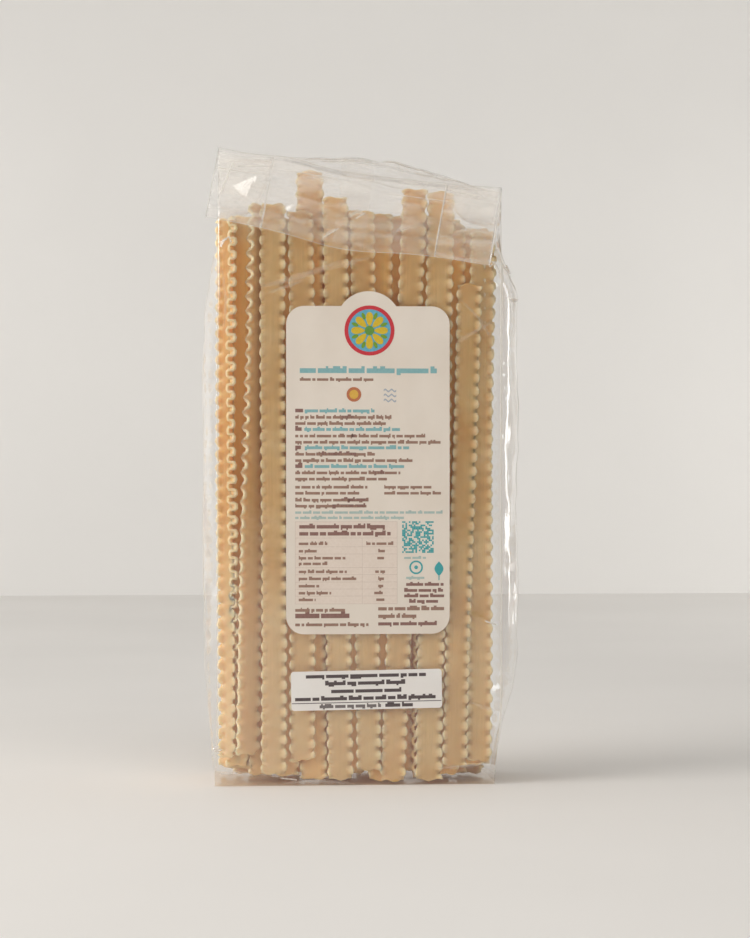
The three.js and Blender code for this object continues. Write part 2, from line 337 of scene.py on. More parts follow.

# %% [markdown]
# ## Pasta
#
# Mafaldine are extruded from durum semolina dough and dried. That leaves fine lengthwise
# streaks from the die, a floury matt skin, pale dry edges where the dough is ruffled and thin,
# and small bran specks. The body is warm straw yellow.
#
# Light goes a few millimetres into dry dough and comes out again beside where it went in, which
# softens every shadow on it. A plain diffuse colour would look like painted wood, so the shader
# scatters light under the surface. Light that has passed many ribbons is orange: the ribbons deep
# in the gaps have that orange painted into their colour, and a very faint painted glow in place of
# the last few bounces, which would take too long to follow. Painted light also makes the crests
# that bend towards the front paler, and the ribbons paler towards their feet and the left, where
# the floor and the window light them most.
#
# Each vertex carries its place on its own ribbon, in mm across, mm along and the ribbon's
# number, so the streaks follow every twist.

# %% Pasta material
def durum_pasta():
    """Dried durum dough: streaked, floury, pale at its ruffled edges and a little translucent."""
    material, tree = new_material("dried_durum_pasta")
    strip = add_node(tree, "ShaderNodeAttribute", attribute_name="strip").outputs["Vector"]
    tone, deep, edge, flour = [
        add_node(tree, "ShaderNodeAttribute", attribute_name=name).outputs["Fac"]
        for name in ("tone", "deep", "edge", "flour")]

    # slow changes of tone along a ribbon, about 25 mm from light to dark
    slow_place = add_node(tree, "ShaderNodeMapping", {"Vector": strip, "Scale": (0.06, 0.04, 7.0)})
    slow = add_node(tree, "ShaderNodeTexNoise", {
        "Vector": slow_place.outputs[0], "Scale": 1.0, "Detail": 2.0})
    slow_and_tone = add_node(tree, "ShaderNodeMath", {
        0: slow.outputs["Fac"], 1: tone}, operation="ADD")
    straw = add_node(tree, "ShaderNodeValToRGB", {"Fac": slow_and_tone.outputs[0]},
                     stops=[(0.25, "#d3a76a"), (0.5, "#dcb880"), (0.75, "#e3c594")])
    # ribbons deep in the gaps are painted orange for the light bounced between them
    body = add_node(tree, "ShaderNodeMix", {
        0: deep, 6: straw.outputs["Color"], 7: linear("#f7ba6c")}, data_type="RGBA")

    # die streaks: 0.5 mm apart and many centimetres long
    streak_place = add_node(tree, "ShaderNodeMapping", {"Vector": strip, "Scale": (1.9, 0.03, 3.0)})
    streaks = add_node(tree, "ShaderNodeTexNoise", {
        "Vector": streak_place.outputs[0], "Scale": 1.0, "Detail": 3.0, "Roughness": 0.6})
    streak_tone = add_node(tree, "ShaderNodeMapRange", {
        "Value": streaks.outputs["Fac"], "From Min": 0.3, "From Max": 0.7,
        "To Min": 0.92, "To Max": 1.06})
    body = add_node(tree, "ShaderNodeMix", {
        0: 1.0, 6: body.outputs[2], 7: streak_tone.outputs[0]},
        data_type="RGBA", blend_type="MULTIPLY")

    # bran specks, 0.3 mm in life, drawn at 0.6 mm so that they show
    specks = add_node(tree, "ShaderNodeTexVoronoi", {
        "Vector": strip, "Scale": 0.55, "Randomness": 1.0})
    speck_mask = add_node(tree, "ShaderNodeMapRange", {
        "Value": specks.outputs["Distance"], "From Min": 0.1, "From Max": 0.2,
        "To Min": 0.35, "To Max": 0.0})

    # The dry ruffled edges are paler, and the crests that bend towards the front get a painted
    # highlight on top. The feet and the left side are painted paler, for the light of the floor and
    # the window there. Specks are last.
    for share, hex_colour in ((edge, "#ead7b4"), (flour, "#f3dab6"),
                              (speck_mask.outputs[0], "#b98a54")):
        body = add_node(tree, "ShaderNodeMix", {
            0: share, 6: body.outputs[2], 7: linear(hex_colour)}, data_type="RGBA")

    grain = add_node(tree, "ShaderNodeTexNoise", {"Vector": strip, "Scale": 2.2, "Detail": 2.0})
    rough_skin = add_node(tree, "ShaderNodeMath", {
        0: streaks.outputs["Fac"], 1: grain.outputs["Fac"]}, operation="ADD")
    bump = add_node(tree, "ShaderNodeBump", {
        "Height": rough_skin.outputs[0], "Strength": 0.35, "Distance": 0.15 * MM})
    # painted glow: the faint orange of light bounced between the ribbons in the gaps
    glow = add_node(tree, "ShaderNodeMix", {
        0: deep, 6: linear("#000000"), 7: linear("#b97a24")}, data_type="RGBA")
    skin = add_node(tree, "ShaderNodeBsdfPrincipled", {
        "Base Color": body.outputs[2], "Roughness": 0.6, "IOR": 1.5,
        "Emission Color": glow.outputs[2], "Emission Strength": 0.05,
        "Specular IOR Level": 0.2, "Normal": bump.outputs[0], "Subsurface Weight": 1.0,
        "Subsurface Radius": (1.0, 0.8, 0.6), "Subsurface Scale": 2.6 * MM})
    finish_material(tree, skin.outputs[0])
    return material


PASTA = durum_pasta()

# %% [markdown]
# ## One ribbon
#
# A ribbon is 10 mm wide before its edges are ruffled, and 1.25 mm thick. Its middle is flat and
# both edges are ruffled: the dough is pushed out faster there than in the middle, so the edge is
# longer than the ribbon and folds into waves. The wave has three parts, all growing towards the
# edge: in and out of the ribbon's face, up and down along it, which makes the loops lean over as
# in a seashell, and a little sideways, which scallops the outline. A flat strip with a wave
# modifier has only the first part, and its edges look like corrugated card.
#
# The middle surface is calculated first. Its true normals then push the two faces apart, so the
# dough has the same thickness on the steep flanks of a wave as in the flat middle.

# %% Thickness
RIBBON_WIDTH = 10.0
RIBBON_THICKNESS = 1.25
RIM_TAPER = 0.92  # the dough is a little thinner at its very edge
FINE_ACROSS = np.array([-1, -0.92, -0.78, -0.62, -0.42, 0, 0.42, 0.62, 0.78, 0.92, 1])
COARSE_ACROSS = np.array([-1, -0.85, -0.6, 0, 0.6, 0.85, 1])
CORE_ACROSS = np.array([-1, -0.7, 0, 0.7, 1])


def round_trip(grid):
    """Values of the middle surface, given to the front face and then back over the rear one."""
    return np.concatenate([grid, grid[:, ::-1]], axis=1)


def thickened(middle, across):
    """Both faces of a ribbon and its two ends, from its middle surface."""
    rows, count = middle.shape[:2]
    normal = unit(np.cross(np.gradient(middle, axis=1), np.gradient(middle, axis=0)))
    taper = np.where(np.abs(across) > 0.99, RIM_TAPER, 1.0)[None, :, None]
    half = RIBBON_THICKNESS / 2 * taper
    ring = np.concatenate([middle + normal * half, (middle - normal * half)[:, ::-1]], axis=1)
    faces = grid_faces(rows, 2 * count, closed=True)
    end = np.array([(j, 2 * count - 1 - j, 2 * count - 2 - j, j + 1) for j in range(count - 1)])
    last = (rows - 1) * 2 * count
    return ring.reshape(-1, 3), np.concatenate([faces, end, end[:, ::-1] + last])


# %% Ribbon
USUAL_PITCH = 5.9
LOW_LIGHT_UP_TO = 130  # height up to which the ribbons are painted paler for the floor's light
HEADS_FROM, HEADS_LIT = 222, 240  # daylight reaches the ribbons again between these heights


def ribbon(foot, head, turn=(0, 0), bow=(0, 0), width=RIBBON_WIDTH, pitch=USUAL_PITCH,
           ruffle=(0.95, 1.45), curl=0.58, across=FINE_ACROSS, steps_per_wave=8, tone=None,
           deep=0.0, cut=(0, 0), flat_share=0.42, rim_tone=(0.5, 0.35), scallop=0.5, calm=1.0):
    """One ribbon from foot to head, both (x, y, z) in mm, as (points, faces, values).

    turn is how far its left edge is turned to the front at foot and head, in degrees, and bow
    how far its middle stands out of a straight line, in x and y. pitch is the length of a wave,
    and ruffle the waves' height at the left and right edge. curl widens the crests, until over
    0.47 they hang over. across says where the points lie over the width, from -1 to 1, and
    flat_share how much of it stays flat. tone is how light the ribbon is, and deep how much of the
    orange of light bounced between ribbons is painted on it. cut slopes the two ends. rim_tone is
    how pale the dry rims are, and how much painted highlight the crests that bend to the front get
    on top, scallop how far a wave moves the outline, and calm how high the waves are at the foot,
    as a share of those at the head.
    """
    foot, head = np.array(foot, float), np.array(head, float)
    length = np.linalg.norm(head - foot)
    rows = int(length / pitch * steps_per_wave) + 1
    share = np.linspace(0, 1, rows)[:, None]
    along = share * length
    phases = random.uniform(0, 2 * math.pi, 4)
    number = random.integers(1000)
    if tone is None:
        tone = random.uniform(-0.16, 0.16)

    # the middle line, which sways a little, and the way that the ribbon faces
    arch = 4 * share * (1 - share)
    sway = 0.25 * np.sin(along / 31 + phases[2])
    centre = foot + (head - foot) * share
    centre = centre + np.hstack([bow[0] * arch + sway, bow[1] * arch, np.zeros_like(share)])

    wobble = 3 * np.sin(along / 23 + phases[3])
    angle = np.radians(blend(turn[0], turn[1], share) + wobble)
    up = (head - foot) / length
    sideways = np.hstack([np.cos(angle), np.sin(angle), np.zeros_like(angle)])
    sideways = unit(sideways - (sideways @ up)[:, None] * up)
    outward = np.cross(sideways, up)

    # the waves: lift is out of the face, slide along the ribbon and spread across it
    s = across[None, :]
    rise = np.clip((np.abs(s) - flat_share) / (1 - flat_share), 0, 1) ** 1.4
    height = np.where(s < 0, *ruffle)
    side_phase = np.where(s < 0, phases[0], phases[1])
    drift = 0.5 * np.sin(along / 17 + phases[2])
    wave = 2 * math.pi * along / pitch + side_phase + drift
    strength = blend(calm, 1, share) * (1 + 0.15 * np.sin(along / 11 + phases[3]))
    lift = height * strength * rise * np.sin(wave)
    slide = -curl * pitch / USUAL_PITCH * rise * np.sin(2 * wave)
    offset = s * width / 2
    spread = scallop * rise * np.sin(wave) * np.sign(s) + offset

    # the ends: sloped, drawn in at their corners and a little uneven where they were cut
    at_foot, at_head = np.exp(-along / 3), np.exp((along - length) / 3)
    slide = slide + cut[0] * offset * at_foot + cut[1] * offset * at_head
    slide = slide + np.abs(s) ** 3 * (at_foot - at_head)
    slide = slide + 0.45 * np.sin(5 * s + phases[0]) * at_foot
    slide = slide + 0.45 * np.sin(4 * s + phases[1]) * at_head

    middle = (centre[:, None, :] + spread[..., None] * sideways[:, None, :]
              + lift[..., None] * outward[:, None, :] + slide[..., None] * up)
    ring, faces = thickened(middle, across)
    height = ring[:, 2]
    place_across = round_trip(np.broadcast_to(offset, middle.shape[:2])).ravel()
    place_along = round_trip(np.broadcast_to(along, middle.shape[:2])).ravel()
    # the rims are paler for their dry dough, and sin(wave) adds a painted highlight on the crests that
    # bend towards the front
    rim = smoothstep(0.55, 1.0, np.abs(s)) * (rim_tone[0] + rim_tone[1] * np.sin(wave))
    # painted light: the ribbons are paler towards their feet and towards the left, where the floor and
    # the window light them most
    low = 1 - smoothstep(-20, LOW_LIGHT_UP_TO, height)
    values = {"strip": np.stack([place_across, place_along, np.full_like(place_along, number)], 1),
              "edge": round_trip(rim).ravel(),
              "tone": np.full(len(ring), tone),
              # painted orange of bounced light, gone at the heads, which daylight reaches
              "deep": deep * (1 - smoothstep(HEADS_FROM, HEADS_LIT, height)),
              "flour": low * (0.3 - 0.34 * ring[:, 0] / HALF)}
    return ring, faces, values


# %% [markdown]
# ## The front row
#
# These are the ribbons that the eye lands on, so each is placed one by one: the middle of its foot
# and head, how deep it lies behind the film, and how it is turned. On the left a few ribbons
# stand edge-on, where their ruffles show as a row of small curls.

# %% Front row
def front(foot, head, depth=(2.4, 2.4), **more):
    """A ribbon from (x, z) of its foot and head, and its depth behind the front film there."""
    return ribbon((foot[0], FRONT + depth[0], foot[1]),
                  (head[0], FRONT + depth[1], head[1]), **more)


# deep is the orange of light bounced between ribbons, painted on; it is larger for ribbons lying back in
# the gaps
bag_piece("ribbons_front", [
    front((-56.0, 11.8), (-57.4, 240), (6.0, 7.4), turn=(-16, -12), width=6.0, pitch=5.6,
          ruffle=(1.8, 0.4), flat_share=0.2, tone=0.18, deep=0.2, scallop=0.8),
    front((-53.2, 11.0), (-54.2, 241), (15.0, 7.2), turn=(86, 88), bow=(0, -3.5), pitch=5.9,
          ruffle=(1.9, 1.3), curl=0.85, tone=0.12, deep=0.5, rim_tone=(0.8, 0.2)),
    front((-47.7, 13.1), (-42.3, 246), (4.6, 5.6), turn=(22, 40), pitch=6.2,
          ruffle=(2.8, 1.3), curl=0.35, tone=0.2, deep=0.35, rim_tone=(0.9, 0.1), calm=0.8),
    front((-36.2, 5.0), (-36.9, 246), (2.4, 2.4), pitch=5.9, tone=0.05),
    front((-24.4, 10.6), (-25.2, 243), (2.6, 2.6), bow=(0.9, 0), pitch=5.8, cut=(0.25, 0)),
    front((-8.2, 2.4), (-10.3, 249), (2.4, 2.6), pitch=5.8, tone=0.02),
    front((3.7, 6.3), (0.7, 243), (2.7, 2.6), width=9.7, pitch=5.6, tone=-0.05),
    front((14.2, 1.6), (23.4, 252.6), (2.4, 2.6), width=9.8, pitch=5.9),
    front((29.2, 1.8), (34.9, 251.6), (2.6, 2.6), width=10.6, pitch=5.7, tone=0.04),
    front((23.9, 3.0), (26.0, 236), (7.6, 12.0), turn=(86, 80), pitch=5.6, deep=0.6),
    front((40.2, 7.7), (46.6, 212.5), (2.4, 2.4), turn=(0, 3), width=9.7, pitch=5.7),
    front((50.6, 9.7), (52.1, 235), (3.2, 4.6), turn=(-4, 6), width=9.8, pitch=5.8, tone=0.08),
], PASTA)

# %% [markdown]
# ## The second row
#
# The gaps of the front row show the next ribbons behind it. Little light gets there, and what does
# has bounced between ribbons, so they are painted a deeper orange. One of them is taller than the
# rest, and its head stands up under the roof.

# %% Second row
# their deep is the painted orange of light bounced between ribbons
SECOND = dict(steps_per_wave=6, ruffle=(1.3, 1.3), deep=0.75)
bag_piece("ribbons_second", [
    front((-52.0, 8.0), (-49.8, 241), (8.2, 5.6), turn=(-10, -10), width=8.7, tone=0.3,
          ruffle=(0.7, 0.4), steps_per_wave=6, deep=1.0),
    front((-55.0, 7.0), (-55.8, 236), (11.4, 10.4), turn=(-30, -30), width=9.0, **SECOND),
    front((-41.6, 4.0), (-40.0, 239), (9.0, 12.4), turn=(5, -5), **SECOND),
    front((-31.0, 4.0), (-31.5, 240), (4.9, 4.9), turn=(5, -5), **SECOND),
    front((-19.4, 2.4), (-20.9, 260.3), (5.0, 5.2), width=10.8, tone=-0.05, **SECOND),
    front((-3.0, 6.0), (-5.0, 238), (4.9, 4.9), turn=(-3, 3), **SECOND),
    front((9.4, 1.6), (8.8, 242), (5.0, 5.0), tone=0.0, **SECOND),
    front((17.6, 5.0), (15.2, 241), (7.2, 6.6), tone=-0.16, **SECOND),
    front((30.5, 5.0), (28.6, 241), (6.0, 4.9), turn=(3, -4), tone=-0.08, **SECOND),
    front((36.8, 4.0), (39.6, 236), (4.9, 4.9), turn=(-4, 4), tone=-0.08, **SECOND),
    front((47.0, 8.0), (48.6, 236), (5.0, 6.0), turn=(3, -3), tone=0.3, **SECOND),
    front((53.6, 10.0), (53.8, 231), (11.0, 11.0), turn=(70, 60), tone=0.08, **SECOND),
], PASTA)

# %% [markdown]
# ## The rest of the filling
#
# Behind the first two rows lie 86 more ribbons: eight layers, 4 mm apart, four ribbons that
# stand on edge against the side film, and a back row. Their places are drawn at random from a
# fixed seed, so every run gives the same bag. The outermost ones of each layer show through the
# side film, so they have more points than those in the core, which are only glimpsed. Letting
# all of them fall into the bag as rigid bodies would be the physical way, but stiff ribbons as
# long as the bag can only stand side by side, so placing them gives the same and is fast.

# %% Core and side rows
def head_room(y):
    """The height that the roof leaves for a ribbon's head at a depth."""
    return min(ROOF_START + 0.42 * (BACK - y) - 2, 245.0)


def layer_ribbon(x, y, across, steps, x_jitter=1.2, y_jitter=0.5, turn=8.0):
    """A ribbon of a layer, upright but for small random leans, turns and ends."""
    top = head_room(y) - (6 if abs(x) > 45 else 0)
    ends = [(x + random.normal(0, x_jitter), y + random.normal(0, y_jitter), random.uniform(*heights))
            for heights in ((2.0, 9.0), (top - 7, top))]
    turns = random.normal(0, turn, 2)
    bow = random.normal(0, 0.6, 2)
    # the core ribbons get the painted orange of light bounced between ribbons
    return ribbon(*ends, turn=turns, bow=bow, pitch=random.uniform(5.4, 6.2), across=across,
                  steps_per_wave=steps, deep=0.9 if across is CORE_ACROSS else 0.0)


CORE_LAYERS = FRONT + np.linspace(10.2, 39.5, 8)
CORE_PLACES = np.linspace(-39, 39, 7)
LAYER_SHIFT = 2.5  # every other layer is shifted by this, as bricks are
FREE_LAYERS = (0, 1, 4, 7)
core = []
sides = []
for layer, y in enumerate(CORE_LAYERS):
    shift = LAYER_SHIFT if layer % 2 else -LAYER_SHIFT
    core += [layer_ribbon(x + shift, y, CORE_ACROSS, 3.6) for x in CORE_PLACES]
    # where another ribbon stands on edge against the side film, the layer ends further in
    outer = 50.8 if layer in FREE_LAYERS else 48.2
    sides += [layer_ribbon(side * outer, y, COARSE_ACROSS, 6, x_jitter=0.6, turn=5)
              for side in (-1, 1)]
bag_piece("ribbons_core", core, PASTA)

for side in (-1, 1):
    for y in (FRONT + 21, FRONT + 34):
        sides.append(ribbon((side * 55.0, y, 11), (side * 58.2, y + 1, 229), turn=(84, 92),
                            across=COARSE_ACROSS, steps_per_wave=6))
bag_piece("ribbons_side", sides, PASTA)

# %% Back row
back_row = []
for x in np.linspace(-53, 53, 10):
    foot = (x + random.normal(0, 0.7), BACK - 2.6, random.uniform(2, 10))
    head = (x + random.normal(0, 0.7), BACK - 2.7 - random.uniform(0, 0.8),
            random.uniform(226, 235))
    back_row.append(ribbon(foot, head, turn=180 + random.normal(0, 4, 2),
                           pitch=random.uniform(5.5, 6.1), steps_per_wave=6))
bag_piece("ribbons_back", back_row, PASTA)
print("ribbons in the rows drawn at random:", len(core) + len(sides) + len(back_row))

# %% [markdown]
# ## Film
#
# The bag is oriented polypropylene film, 0.03 mm thick, clear and glossy. It is one tube with
# four panels: front, back and two sides with a crease down the middle of each. A film this thin
# is best shown as a single surface that lets light straight through and mirrors a little of
# the room: refracting glass would make it look like a block of resin. The share that it mirrors
# grows as Fresnel's law says, up to nearly all at a grazing angle. Seen square on, a film's two
# faces mirror about 8 %. Here it is 12 %, because the finest waves of the real film, which catch
# the window as well, are too small for the mesh.

# %% Film material
def clear_film(name, haze, mirrored=0.12, pattern=None, tint="#fbf8f3", glow=0.0):
    """Clear polypropylene film.

    haze is the share of light that its scuffs scatter, and mirrored the share that it mirrors
    when it is seen square on. pattern adds the nodes that say how much haze each place has, and
    tint is the haze's colour. In folded film light also wanders sideways between the layers,
    which one surface can't show: glow stands for the part of it that comes out of the haze.
    """
    material, tree = new_material(name)
    facing = add_node(tree, "ShaderNodeLayerWeight", {"Blend": 0.5}).outputs["Facing"]
    grazing = add_node(tree, "ShaderNodeMath", {0: facing, 1: 4.0}, operation="POWER")
    mirror = add_node(tree, "ShaderNodeMapRange", {
        "Value": grazing.outputs[0], "To Min": mirrored, "To Max": 0.85})
    place = add_node(tree, "ShaderNodeTexCoord").outputs["Object"]
    scuffs = add_node(tree, "ShaderNodeTexNoise", {"Vector": place, "Scale": 260.0, "Detail": 3.0})
    bump = add_node(tree, "ShaderNodeBump", {
        "Height": scuffs.outputs["Fac"], "Strength": 0.12, "Distance": 0.2 * MM})
    clear = add_node(tree, "ShaderNodeBsdfTransparent", {"Color": linear("#ffffff")})
    gloss = add_node(tree, "ShaderNodeBsdfGlossy", {
        "Color": linear("#ffffff"), "Roughness": 0.09, "Normal": bump.outputs[0]})
    backward = add_node(tree, "ShaderNodeBsdfDiffuse", {"Color": linear(tint)})
    onward = add_node(tree, "ShaderNodeBsdfTranslucent", {"Color": linear(tint)})
    scattered = add_node(tree, "ShaderNodeMixShader", {
        0: 0.35, 1: backward.outputs[0], 2: onward.outputs[0]})
    wandering = add_node(tree, "ShaderNodeEmission", {"Color": linear(tint), "Strength": glow})
    veil = add_node(tree, "ShaderNodeAddShader", {
        0: scattered.outputs[0], 1: wandering.outputs[0]})
    film = add_node(tree, "ShaderNodeMixShader", {
        0: mirror.outputs[0], 1: clear.outputs[0], 2: gloss.outputs[0]})
    amount = haze
    if pattern:
        amount = add_node(tree, "ShaderNodeMath", {0: pattern(tree, place), 1: haze},
                          operation="MULTIPLY").outputs[0]
    hazy = add_node(tree, "ShaderNodeMixShader", {0: amount, 1: film.outputs[0], 2: veil.outputs[0]})
    finish_material(tree, hazy.outputs[0])
    return material


# %% [markdown]
# Film isn't hazy all over. Where the top was folded by hand it has milky bands along the fold,
# more near the fold, partly from scuffing and partly a painted sheen of the curved film there. The
# pale streaks where it is pulled are painted sheen, in fine threads. Both patterns say how much of
# the haze there is at a point. The whitest film is in the creases and glints, which get a material
# of their own.

# %% Haze patterns and the kinds of film
BAND = (24 * MM, 12 * MM, 4.5 * MM)  # length, depth and height of a milky band


def fold_haze(tree, place):
    """Milky bands along the fold, fewer further down."""
    along_fold = add_node(tree, "ShaderNodeMapping", {
        "Vector": place, "Rotation": (0, -math.atan(FOLD_TILT), 0), "Scale": BAND},
        vector_type="TEXTURE").outputs[0]
    noise_bands = add_node(tree, "ShaderNodeTexNoise", {
        "Vector": along_fold, "Scale": 1.0, "Detail": 3.0, "Distortion": 0.8})
    bands = add_node(tree, "ShaderNodeMapRange", {
        "Value": noise_bands.outputs["Fac"], "From Min": 0.42, "From Max": 0.72,
        "To Min": 0.8, "To Max": 2.7})
    # heights here are in bands: from 225 mm, below the flap's edge, to 254 mm, near the fold
    height = add_node(tree, "ShaderNodeSeparateXYZ", {"Vector": along_fold})
    # more haze near the fold: partly scuffs, partly a painted sheen of the curved film that catches light
    # from above
    near_fold = add_node(tree, "ShaderNodeMapRange", {
        "Value": height.outputs["Z"], "From Min": 50.0, "From Max": 56.5,
        "To Min": 0.8, "To Max": 1.25})
    return add_node(tree, "ShaderNodeMath", {0: bands.outputs[0], 1: near_fold.outputs[0]},
                    operation="MULTIPLY").outputs[0]


def milk_haze(tree, place):
    """Haze where the points' milk attribute says so, in fine threads."""
    # the milk attribute marks the streaks of painted sheen
    milk = add_node(tree, "ShaderNodeAttribute", attribute_name="milk")
    noise_threads = add_node(tree, "ShaderNodeTexNoise", {
        "Vector": place, "Scale": 700.0, "Detail": 2.0})
    threads = add_node(tree, "ShaderNodeMapRange", {
        "Value": noise_threads.outputs["Fac"], "From Min": 0.3, "From Max": 0.7,
        "To Min": 0.85, "To Max": 1.1})
    return add_node(tree, "ShaderNodeMath", {0: milk.outputs["Fac"], 1: threads.outputs[0]},
                    operation="MULTIPLY").outputs[0]


FILM = clear_film("clear_polypropylene_film", 0.018)
# the roof and the flap: their haze is partly scuffing and partly painted sheen, and glow is a painted
# glow for light wandering between the layers
HANDLED_FILM = clear_film("handled_film_scuffs_and_painted_sheen", 0.08, mirrored=0.008,
                          pattern=fold_haze, glow=0.1)
# the bottom's folded layers scatter more, and its warm tint and extra haze are painted light: the warm
# light of the pasta that it reflects, and less shade under the ribbons
BASE_FILM = clear_film("folded_bottom_film_painted_warm", 0.34, mirrored=0.04, tint="#f6e6d0")
# whitish streaks of painted sheen, where the film's wrinkles catch the window
SHEEN_STREAK_FILM = clear_film("painted_sheen_streak_film", 0.42, mirrored=0.03, pattern=milk_haze)
# creases are partly whitened film and partly a painted highlight; glints are painted highlight only
CREASE_AND_GLINT_FILM = clear_film("whitened_crease_and_painted_glint_film", 0.6)
CRINKLED_FILM = clear_film("crinkled_film_facet", 0.25, mirrored=0.075)

# %% [markdown]
# ### The shape of the tube
#
# The tube is a stack of rings. Going up, it is a filled body, then a roof where the back panel
# leans forward and the sides tuck in, then the fold, where every layer turns over the front at
# its own radius, and last the flap. A panel point is given by how far it is from the tube's
# middle line when the bag lies flat, from -60 to 60 mm.

# %% Film shape
LAYER_FRONT = 0.3  # radius of the innermost layer at the fold, the front panel
LAYER_BACK = 1.9  # and of the outermost one, the back panel
FOLD_CENTRE = FRONT - LAYER_FRONT
SPRING = 2.2  # how far the flap's free edge springs forward
FLAP_SHIFT = 5.3  # and how far it hangs to the left
BODY_LEVELS = 150
ROOF_LEVELS = 26
FOLD_LEVELS = 8
FLAP_LEVELS = 30


def fold_line(a):
    """Height of the fold over FOLD_HEIGHT, at a place across the bag."""
    sag = FOLD_SAG * (1 - (a / HALF) ** 2)
    return a * FOLD_TILT - sag + 1.9 * np.exp(-((a + 30) / 12) ** 2)


def free_edge(a):
    """Height of the flap's free edge."""
    return 229.7 - 0.1633 * a - 3.6 * np.exp(-((a + 2) / 24) ** 2)


def roof_hump(a, roof):
    """How far the ribbons' heads push the roof up, most of it just behind the fold."""
    away = np.clip((a - 6) / 75, -1, 1)
    return 13.5 * np.cos(math.pi / 2 * away) ** 2 * np.sin(math.pi * roof ** 3)


def tube_point(level, a, depth):
    """A point of the tube: level from 0 to 4, a from -60 to 60, depth 0 front to 1 back.

    a beyond 60 either way means the side panel's swell, in mm out of the front's edge.
    """
    shape = np.broadcast(level, a, depth).shape
    level, a, depth = (np.broadcast_to(v, shape).astype(float) for v in (level, a, depth))
    z = np.clip(level, 0, 1) * ROOF_START
    roof = np.clip(level - 1, 0, 1)
    turn = np.clip(level - 2, 0, 1) * math.pi
    down = np.clip(level - 3, 0, 1)
    inside = np.clip(a, -HALF, HALF)
    foot = 2.0 * (1 - smoothstep(0, 14, z)) ** 2
    half = blend(np.where(a < 0, LEFT_BASE, HALF_BASE), HALF, smoothstep(0, 40, z))
    x = a * np.where(np.abs(a) <= HALF, half / HALF, 1.0)
    x = np.where(np.abs(a) > HALF, np.sign(a) * (half + np.abs(a) - HALF), x)
    front_y = FRONT + foot
    back_y = blend(BACK - foot, FRONT + LAYER_BACK - LAYER_FRONT, roof ** 1.15)
    y = blend(front_y, back_y, depth)
    z = z + roof * (FOLD_HEIGHT - ROOF_START + fold_line(inside)) + depth * roof_hump(inside, roof)
    layer = blend(LAYER_FRONT, LAYER_BACK, depth) * blend(1, 0.6, down)
    over = level > 2
    y = np.where(over, FOLD_CENTRE + layer * np.cos(turn) - SPRING * down ** 1.6, y)
    z = np.where(over, z + layer * np.sin(turn), z)
    z = np.where(level > 3, blend(FOLD_HEIGHT + fold_line(inside), free_edge(inside), down), z)
    x = x - np.where(level > 3, FLAP_SHIFT * down, 0)
    return x, y, z


def side_column(side, t, level):
    """a for a place on a side panel: t runs from the front's edge to the back's."""
    z = np.clip(level, 0, 1) * ROOF_START
    roof = np.clip(level - 1, 0, 1)
    reach = 9.5 if side > 0 else 5.8
    shoulder = (207, 234) if side > 0 else (192, 242)
    swell = reach * smoothstep(-4, 60, z) * (1 - smoothstep(*shoulder, z))
    depth = blend(BACK - FRONT, LAYER_BACK - LAYER_FRONT, roof ** 1.15)
    tuck = np.where(roof > 0, np.sqrt(np.maximum(GUSSET ** 2 - (depth / 2) ** 2, 0)), 0)
    share = 1 - np.abs(2 * t - 1) ** np.where(roof > 0, 1.0, 1.45)
    return side * (HALF + (swell - tuck) * share)


# %% [markdown]
# ### Creases and waviness
#
# Tight film lies nearly flat over the ribbons, with a few long diagonal pulls. On the sides and
# over the roof it is slack, with more waves. The waves are smooth noise. A pull or crease is a
# ridge along a line, with a sharp top.

# %% Film relief
RIBBON_SPACING = 12.7  # of the front row, middle to middle


def over_ribbons(x, z):
    """1 over a gap of the front row, -1 over the middle of a ribbon. The row leans a little."""
    return np.cos(2 * math.pi * (x - 0.03 * (z - 120)) / RIBBON_SPACING + 0.6)


def ridge(x, z, start, end, height, width):
    """Height of a ridge along a line from start to end, at points x, z."""
    line = np.array(end, float) - start
    length = np.hypot(*line)
    dx, dz = x - start[0], z - start[1]
    along = (dx * line[0] + dz * line[1]) / length
    away = (dx * line[1] - dz * line[0]) / length
    ends = smoothstep(0, 0.25 * length, along) * (1 - smoothstep(0.75 * length, length, along))
    return height * np.exp(-np.abs(away) / width) * ends


def waviness(x, y, z, scale, seed):
    """Smooth noise between about -1 and 1 at many points, scale in mm."""
    spots = np.stack([x / scale[0], y / scale[1] + seed, z / scale[2]], -1).reshape(-1, 3)
    return np.array([noise.noise(Vector(spot)) for spot in spots.tolist()]).reshape(x.shape)


def crumple(x, y, z, scale, seed):
    """Noise folded at zero: flat facets that meet in sharp creases, as in crumpled film."""
    return np.abs(waviness(x, y, z, scale, seed))


# pulls as start, end, height and width, in mm: on the front panel and on the flap
FRONT_PULLS = [
    ((-40, 211), (-5, 222), 0.5, 1.6), ((-30, 206), (-14, 215), 0.3, 1.4),
    ((40, 192), (52, 186), 0.4, 1.2), ((-12, 214), (14, 221), 0.3, 1.3),
    ((46, 72), (56, 68), 0.5, 1.4), ((-58, 226), (-50, 219), 0.6, 1.2),
    ((-57, 17), (-46, 13), 0.5, 1.5), ((30, 12), (52, 5), 0.4, 1.6),
]
FLAP_PULLS = [
    ((-16, 232), (-4, 236), 0.7, 1.0), ((-56, 252), (-44, 258), 0.9, 1.6),
    ((-52, 246), (-46, 257), 0.8, 1.4), ((-8, 243), (2, 241), 0.4, 1.0),
    ((-52, 262), (-32, 259), 0.5, 1.0), ((10, 250), (36, 247), 0.5, 1.4),
]

